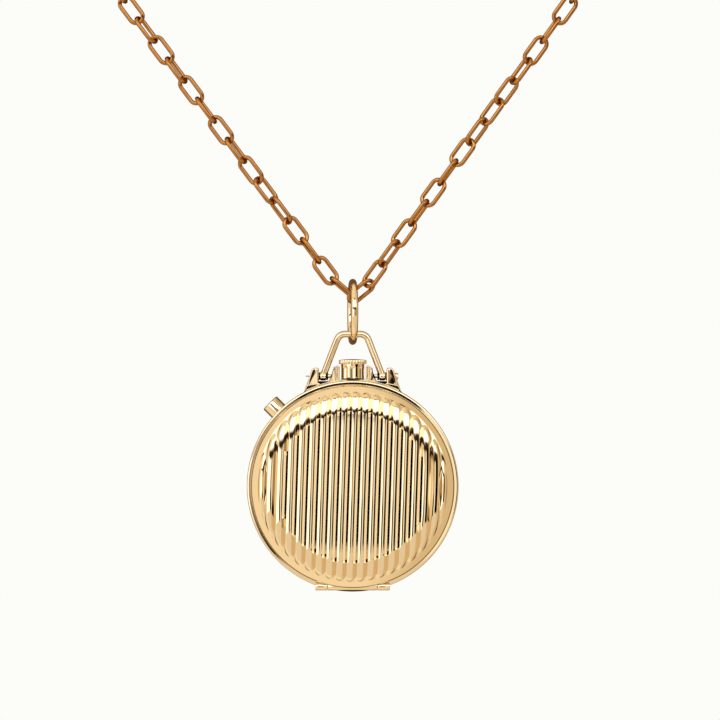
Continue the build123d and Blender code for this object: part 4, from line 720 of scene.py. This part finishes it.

# %% Painted shade in the recesses
# Near-black rods, a plate and a disc fill the gaps beside the bow's feet, between the ears and under the crown:
# painted shade where those gaps fall dark.
shade_fill = bmesh.new()
for side in (1, -1):
    rod(shade_fill, (side * 3.74, 16.6, 0), (side * 4.02, 16.6, 0), 0.6, 0.05, 40)
    rod(shade_fill, (side * 4.98, 16.6, 0), (side * 5.13, 16.6, 0), 0.6, 0.05, 40)
    shade_floor_plate = [(5.13, 15.2), (5.13, 15.84), (3.7, 15.84), (3.7, 15.5)]
    plate(shade_fill, [(side * x, y) for x, y in shade_floor_plate][::side], -1.0, 1.0, 0, 0.05)
rod(shade_fill, (0, 16.1, 0), (0, 16.27, 0), 1.78, 0.04, 64)
hang("painted_shade_recesses", shade_fill, painted_shade_black, "case")

# %% [markdown]
# ## Crown
#
# The crown is turned, then fluted with a round cutter that stops short of the shoulder, which leaves
# arched tops, and the edge above is scalloped for grip. Each point of one turned blank is moved in to
# the cutter's surface: a cutter's path is simple to state, and the points stay even.

# %% Fluted crown
crown = bmesh.new()
crown_rows = [16.3 + 2.12 * step / 22 for step in range(23)]
crown_outline = [(0, 17.15), (0.95, 17.15), (0.95, 16.3), (1.66, 16.3)]
crown_outline += [(1.75, y) for y in crown_rows[1:]]
crown_outline += [(1.78, 18.44), (2.04, 18.46), (2.1, 18.52), (2.1, 18.75), (2.1, 18.98)]
crown_outline += [(2.04, 19.05), (1.9, 19.08), (1.4, 19.13), (0.8, 19.17), (0, 19.19)]
about_stem = Matrix.Rotation(math.radians(-90), 4, "X")
turned(crown, crown_outline, 234)
for vert in crown.verts:
    reach = math.hypot(vert.co.x, vert.co.y)
    if reach < 1.6:
        continue
    angle = math.atan2(vert.co.y, vert.co.x)
    height = vert.co.z
    if height < 18.43:
        off = (angle / (math.tau / 9) + 0.5) % 1 - 0.5
        off *= math.tau / 9
        cutter = 0.62**2 - max(0.0, height - 17.71) ** 2
        inside = cutter - (2.1 * math.sin(off)) ** 2
        new = min(reach, 2.1 * math.cos(off) - math.sqrt(inside)) if inside > 0 else reach
    else:
        ripple = abs(math.sin(angle * 13))
        new = reach - (0.0 if reach < 1.95 else 0.12 * (1 - ripple))
    vert.co.x *= new / reach
    vert.co.y *= new / reach
bmesh.ops.transform(crown, matrix=Matrix.Rotation(math.radians(-90), 4, "Z"), verts=crown.verts)
bmesh.ops.transform(crown, matrix=about_stem, verts=crown.verts)
hang("fluted_crown", crown, yellow_gold, "crown", ("crown",), crease=48)

# %% [markdown]
# ## Pusher
#
# A plain turned button at half past ten lets the lid spring open. It hides a spring in its cup.

# %% Pusher button
button = bmesh.new()
button_outline = [
    (0, 16.6),
    (1.1, 16.6),
    (1.1, 15.4),
    (1.38, 15.4),
    (1.42, 15.44),
    (1.42, 17.6),
    (1.39, 17.7),
    (1.31, 17.77),
    (1.2, 17.8),
    (0.6, 17.83),
    (0, 17.84),
]
turned(button, button_outline, 96, aimed((0, 0, 0), half_past_ten))
rod(button, half_past_ten * 13.9, half_past_ten * 16.62, 0.5, 0.04, 32)
rod(button, half_past_ten * 13.9, half_past_ten * 14.05, 0.75, 0.04, 32)
hang("pusher_button", button, yellow_gold, "pusher", ("pusher",))

# %% [markdown]
# ## Bow, bail ring and chain
#
# These are all wire. The bow is bent twice over a former and its ends are drilled for the screws. The
# ring is closed and soldered. Each link of the chain is an oval of rose gold wire, and every link
# has its own twist, which is taken from the picture, so the chain does not look stamped.

# %% Bow
bow = bmesh.new()
foot_at, shoulder_at = Vector((-4.5, 16.6, 0)), Vector((-2.05, 23.0, 0))
leg = (shoulder_at - foot_at).normalized()
lean = math.degrees(math.acos(leg.x))
setback = 1.3 * math.tan(math.radians(lean) / 2)
leg_length = (shoulder_at - foot_at).length - setback
bend_at = Vector((shoulder_at.x + setback, shoulder_at.y - 1.3, 0))
bar_length = 4.1 - 2 * setback
moves = [
    ("run", leg * leg_length),
    ("bend", bend_at, (0, 0, 1), -lean, 14),
    ("run", Vector((bar_length, 0, 0))),
    ("bend", Vector((-bend_at.x, bend_at.y, 0)), (0, 0, 1), -lean, 14),
    ("run", Vector((leg.x, -leg.y, 0)) * leg_length),
]
wire(bow, foot_at, leg, 0.5, moves, sides=32)
for side in (1, -1):
    rod(bow, (side * 4.04, 16.6, 0), (side * 4.96, 16.6, 0), 0.66, 0.16, 40)
hang("bow_wire", bow, yellow_gold, "bow", ("bow",))

# %% Bail ring
bail = bmesh.new()
ring_y = 22.45 + 3.92
ring_turn = math.radians(4)
facing = Vector((math.cos(ring_turn), 0, -math.sin(ring_turn)))
section = [
    (4.47 + 0.55 * math.cos(math.tau * step / 40), 0.55 * math.sin(math.tau * step / 40)) for step in range(40)
]
turned(bail, section, 160, aimed((0, ring_y, 0), facing), closed=True)
hang("bail_ring", bail, yellow_gold, "ring", ("pendant_ring",))

# %% Chain links
link_length, link_width, link_wire = 5.1, 2.7, 0.64
link_pitch = link_length - 2 * link_wire - 0.02


def link_place(x, y, h, tilt, roll):
    """Where a link lies: its long axis leans in the case plane and its width is rolled about it."""
    lean, spin = math.radians(tilt), math.radians(roll)
    along = Vector((math.cos(lean), math.sin(lean), 0))
    across = Vector((-math.sin(lean) * math.cos(spin), math.cos(lean) * math.cos(spin), math.sin(spin)))
    away = along.cross(across)
    turn = Matrix((along, across, away)).transposed().to_4x4()
    return Matrix.Translation((x, y, h)) @ turn


def link(bm, where):
    """One oval link of round wire."""
    bend = (link_width - link_wire) / 2
    half = (link_length - link_width) / 2
    moves = [
        ("run", Vector((2 * half, 0, 0))),
        ("bend", (half, 0, 0), (0, 0, 1), -180, 14),
        ("run", Vector((-2 * half, 0, 0))),
        ("bend", (-half, 0, 0), (0, 0, 1), -180, 14),
    ]
    verts = wire(bm, (-half, bend, 0), (1, 0, 0), link_wire / 2, moves, sides=16, closed=True)
    bmesh.ops.transform(bm, matrix=where, verts=verts)


strands = {
    "chain_left": (
        (-4.12, 32.64),
        126.7,
        (16, -80, 20, -60, 45, -25, 70, -20, 80, -20, 70, 0, 65, 0, 75, -10),
        (-1.503, 30.043, 0.162, 139.3, -81.6),
    ),
    "chain_right": (
        (3.36, 32.17),
        54.2,
        (-34.6, 60, -25, 75, -20, 80, -20, 50, -40, 35, -60, 20, -80, 15, 85, 5),
        (1.271, 29.502, -0.301, 39.0, 42.8),
    ),
}
for node, (start, tilt, rolls, lowest) in strands.items():
    strand = bmesh.new()
    link(strand, link_place(*lowest))
    for count, roll in enumerate(rolls):
        x = start[0] + count * link_pitch * math.cos(math.radians(tilt))
        y = start[1] + count * link_pitch * math.sin(math.radians(tilt))
        link(strand, link_place(x, y, 0, tilt, roll))
    hang(node + "_links", strand, rose_gold, "chain", (node,))

# %% [markdown]
# ## Glass and bezel
#
# Under the lid, a domed glass sits in a turned ring that grips it by a narrow lip.

# %% Bezel
bezel = bmesh.new()
bezel_outline = [
    (13.4, 1.9),
    (14.36, 1.9),
    (14.4, 1.94),
    (14.4, 2.24),
    (14.37, 2.32),
    (13.98, 2.92),
    (13.88, 2.98),
    (13.76, 3.0),
    (13.02, 3.0),
    (12.93, 2.97),
    (12.9, 2.9),
    (12.9, 2.8),
    (13.4, 2.8),
]
turned(bezel, bezel_outline, 256, closed=True)
notch = bmesh.new()
reach, middle = 14.4, math.radians(147)
bmesh.ops.create_cube(notch, size=1)
bmesh.ops.scale(notch, vec=(0.9, 1.86, 3.0), verts=notch.verts)
bmesh.ops.rotate(notch, cent=(0, 0, 0), matrix=Matrix.Rotation(middle, 3, "Z"), verts=notch.verts)
bmesh.ops.translate(notch, vec=(reach * math.cos(middle), reach * math.sin(middle), 2.4), verts=notch.verts)
bezel = cut_away(bezel, notch)
hang("bezel_ring", bezel, yellow_gold, "case", ("glass_bezel",))

# %% Crystal
glass = bmesh.new()
edge_high, edge_low = 2.63, 1.98
outer = [(13.4 * step / 20, 3.8 - (3.8 - edge_high) * (step / 20) ** 2) for step in range(21)]
inner = [(12.85 * step / 20, 3.25 - (3.25 - edge_low) * (step / 20) ** 2) for step in range(20, -1, -1)]
turned(glass, outer + [(13.4, edge_low)] + inner, 160)
hang("domed_glass", glass, watch_glass, "case", ("crystal",), crease=60)

# %% [markdown]
# ## Dial print and hands
#
# The dial is plain: upright numerals, a minute track and a small seconds circle, printed in black.
# Blender's own letter shapes are turned into thin solids, as print on enamel stands a little proud.
# The hands are sawn leaves of blued steel.

# %% Dial print
dial_front = 1.6
print_level, print_height = dial_front, 0.03
dial_print = bmesh.new()


def numeral(bm, text, size, x, y, level):
    """A printed number, centred on a point of the dial."""
    letters = bpy.data.curves.new("letters", "FONT")
    letters.body, letters.size, letters.align_x, letters.align_y = text, size, "CENTER", "CENTER"
    letters.extrude, letters.resolution_u = print_height / 2, 4
    item = bpy.data.objects.new("letters", letters)
    bpy.context.scene.collection.objects.link(item)
    bpy.context.view_layer.update()
    mesh = bpy.data.meshes.new_from_object(item.evaluated_get(bpy.context.evaluated_depsgraph_get()))
    mesh.transform(Matrix.Translation((x, y, level + print_height / 2)))
    bm.from_mesh(mesh)
    bpy.data.objects.remove(item)
    bpy.data.meshes.remove(mesh)


def dot(bm, radius, x, y, level):
    """A printed dot."""
    made = bmesh.ops.create_circle(bm, cap_ends=True, segments=20, radius=radius)["verts"]
    face = made[0].link_faces[0]
    bmesh.ops.translate(bm, vec=(x, y, level), verts=made)
    up = bmesh.ops.extrude_face_region(bm, geom=[face])["geom"]
    top = [item for item in up if isinstance(item, bmesh.types.BMVert)]
    bmesh.ops.translate(bm, vec=(0, 0, print_height), verts=top)


for hour in range(1, 13):
    angle = math.radians(90 - 30 * hour)
    if hour != 6:
        numeral(dial_print, str(hour), 2.5, 10.75 * math.cos(angle), 10.75 * math.sin(angle), print_level)
for minute in range(60):
    angle = math.radians(6 * minute)
    size = 0.17 if minute % 5 == 0 else 0.08
    dot(dial_print, size, 12.55 * math.cos(angle), 12.55 * math.sin(angle), print_level)
for second in range(12):
    angle = math.radians(30 * second)
    dot(dial_print, 0.09, 2.7 * math.cos(angle), -6.3 + 2.7 * math.sin(angle), dial_front - 0.1)
hang("dial_numerals", dial_print, print_black, "case", ("hour_markers",))

# %% Hands


def hand(bm, length, swell, boss, level, angle, at=(0, 0)):
    """A leaf hand on a round boss."""
    old = set(bm.verts)
    middle = length * 0.55
    leaf = [
        (0, -0.14),
        (middle * 0.6, -swell * 0.32),
        (middle, -swell / 2),
        (middle * 1.35, -swell * 0.3),
        (length, -0.05),
        (length, 0.05),
        (middle * 1.35, swell * 0.3),
        (middle, swell / 2),
        (middle * 0.6, swell * 0.32),
        (0, 0.14),
    ]
    plate(bm, leaf, level, level + 0.12, 0, 0.03)
    rod(bm, (0, 0, level - 0.01), (0, 0, level + 0.13), boss, 0.03, 40)
    fresh = [vert for vert in bm.verts if vert not in old]
    place = Matrix.Translation((*at, 0)) @ Matrix.Rotation(math.radians(angle), 4, "Z")
    bmesh.ops.transform(bm, matrix=place, verts=fresh)


for name, body, node, values in (
    ("hour_leaf", "hours", "hour_hand", (6.6, 1.0, 0.8, 1.94, 145)),
    ("minute_leaf", "minutes", "minute_hand", (10.2, 1.0, 0.6, 2.2, 30)),
    ("seconds_leaf", "fourth", "seconds_hand", (2.5, 0.3, 0.42, 1.7, -70, (0, -6.3))),
):
    leaf = bmesh.new()
    hand(leaf, *values)
    hang(name, leaf, blued_steel, body, (node,))

# %% [markdown]
# ## The room
#
# Polished metal shows the room more than itself. The photograph was taken in a light tent, and the
# stripes on the lid tell what stood where: a white wall to the left, a dark gap to the right, tan
# card round the lens and a dark patch under it, a narrow dark edge above and then white, and warm
# card below and behind. The room's far end is brown, which edges every round wire. The world gives that room by direction, for mirrored rays only, and keeps
# a plain near-white backdrop for the eye and for the light on enamel.

# %% Light tent
world = bpy.data.worlds.new("Light tent")
bpy.context.scene.world = world
world.use_nodes = True
tent = world.node_tree
tent.nodes.clear()


def banded(value, low, high, stops):
    """A colour for each level of a value, from (level, colour) pairs."""
    share = add_node(tent, "ShaderNodeMapRange", {"Value": value, "From Min": low, "From Max": high})
    band = add_node(tent, "ShaderNodeValToRGB", {0: share.outputs[0]})
    ramp = band.color_ramp
    for level, _ in stops[1:-1]:
        ramp.elements.new((level - low) / (high - low))
    for element, (level, colour) in zip(ramp.elements, stops):
        element.position = (level - low) / (high - low)
        element.color = linear(colour)
    return band.outputs["Color"]


def laid_over(under, over, share):
    """One band of the tent laid over another."""
    mix = add_node(tent, "ShaderNodeMix", {"Factor": share, "A": under, "B": over}, data_type="RGBA")
    return mix.outputs["Result"]


way = add_node(tent, "ShaderNodeTexCoord").outputs["Generated"]
axes = add_node(tent, "ShaderNodeSeparateXYZ", {0: way})
front_way = add_node(tent, "ShaderNodeMath", {0: axes.outputs["Y"], 1: -1.0}, operation="MULTIPLY").outputs[0]
bearing = add_node(tent, "ShaderNodeMath", {0: axes.outputs["X"], 1: front_way}, operation="ARCTAN2")
degrees = add_node(tent, "ShaderNodeMath", {0: bearing.outputs[0]}, operation="DEGREES").outputs[0]
warm = "#B9AC93"
walls = banded(
    degrees,
    -180.0,
    180.0,
    (
        (-76, warm),
        (-64, "#C4C4BC"),
        (-56, "#FFFFFF"),
        (-47, "#FFFFFF"),
        (-44, "#C8CCD4"),
        (-31, "#C8CCD4"),
        (-28, "#FFFFFF"),
        (-22, "#FFFFFF"),
        (-18, "#84725E"),
        (4, "#8E7C66"),
        (9, "#C0BAA8"),
        (22, "#C0BAA8"),
        (25, "#020202"),
        (56, "#020202"),
        (60, "#B8A080"),
        (76, "#C0B49C"),
    ),
)
ruffle = add_node(tent, "ShaderNodeTexNoise", {"Vector": way, "Scale": 7.0, "Detail": 2.0})
ruffled = add_node(
    tent,
    "ShaderNodeMath",
    {0: ruffle.outputs["Fac"], 1: 0.16, 2: axes.outputs["Z"]},
    operation="MULTIPLY_ADD",
).outputs[0]
above = banded(
    ruffled,
    -1.0,
    1.0,
    (
        (0.20, "#100C08"),
        (0.30, "#2A2018"),
        (0.36, "#FFFFFF"),
        (0.71, "#FFFFFF"),
        (0.74, "#5E4A32"),
        (0.79, "#5E4A32"),
        (0.82, warm),
    ),
)
lens_wide = banded(degrees, -180.0, 180.0, ((-15, "#000000"), (-12, "#FFFFFF"), (2, "#FFFFFF"), (5, "#000000")))
lens_tall = banded(axes.outputs["Z"], -1.0, 1.0, ((-0.11, "#FFFFFF"), (-0.07, "#000000")))
lens = add_node(tent, "ShaderNodeMath", {0: lens_wide, 1: lens_tall}, operation="MULTIPLY").outputs[0]
high = banded(ruffled, -1.0, 1.0, ((0.20, "#000000"), (0.22, "#FFFFFF")))
low = banded(axes.outputs["Z"], -1.0, 1.0, ((-0.24, "#FFFFFF"), (-0.22, "#000000")))
behind = banded(front_way, -1.0, 1.0, ((0.50, "#FFFFFF"), (0.57, "#000000")))
room = laid_over(walls, linear("#0C0805"), lens)
room = laid_over(room, above, high)
room = laid_over(room, linear("#ADA18E"), low)
room = laid_over(room, banded(axes.outputs["X"], -1.0, 1.0, ((0.1, warm), (0.6, "#A39376"))), behind)
far_behind = banded(front_way, -1.0, 1.0, ((-0.50, "#FFFFFF"), (-0.20, "#000000")))
room = laid_over(room, linear("#4E3A26"), far_behind)
room_light = add_node(tent, "ShaderNodeBackground", {"Color": room, "Strength": 2.2})
backdrop = add_node(tent, "ShaderNodeBackground", {"Color": linear("#FCFCF8"), "Strength": 1.0})
mirrored = add_node(tent, "ShaderNodeLightPath").outputs["Is Glossy Ray"]
both = add_node(tent, "ShaderNodeMixShader", {0: mirrored, 1: backdrop.outputs[0], 2: room_light.outputs[0]})
add_node(tent, "ShaderNodeOutputWorld", {"Surface": both.outputs[0]})
print("tent made")

# %% Lamps, floor and camera
bpy.context.scene.view_settings.view_transform = "Standard"


def soft_lamp(name, at, aim, width, power):
    """A square soft lamp, aimed at a point, in bench millimetres."""
    light = bpy.data.lights.new(name, "AREA")
    light.size, light.energy = width * MM, power
    lamp = bpy.data.objects.new(name, light)
    place, target = STAND_UP @ Vector(at), STAND_UP @ Vector(aim)
    lamp.location = place
    lamp.rotation_euler = (target - place).to_track_quat("-Z", "Y").to_euler()
    lamp.visible_glossy = False
    bpy.context.scene.collection.objects.link(lamp)


soft_lamp("top lamp", (-60, 260, 160), (0, 10, 0), 180, 0.5)
soft_lamp("front lamp", (120, 90, 300), (0, 10, 0), 160, 0.3)

floor_finish = finish_named("Floor paper, matt", {"Base Color": linear("#F3F0EA"), "Roughness": 0.9})
floor = bmesh.new()
bmesh.ops.create_grid(floor, x_segments=2, y_segments=2, size=60)
bmesh.ops.rotate(floor, cent=(0, 0, 0), matrix=Matrix.Rotation(math.radians(-90), 3, "X"), verts=floor.verts)
bmesh.ops.translate(floor, vec=(0, -62, 0), verts=floor.verts)
floor.transform(STAND_UP)
floor_item = as_object(floor, "floor")
floor_item.data.materials.append(floor_finish)
floor_item.visible_glossy = False

camera_data = bpy.data.cameras.new("photograph")
camera_data.sensor_width, camera_data.lens = 36.0, 102.0
camera_data.clip_start = 0.01
camera = bpy.data.objects.new("photograph", camera_data)
camera.location = STAND_UP @ Vector((1.11, 19.06, 310))
camera.rotation_euler = (math.radians(90), 0, 0)
bpy.context.scene.collection.objects.link(camera)
bpy.context.scene.camera = camera
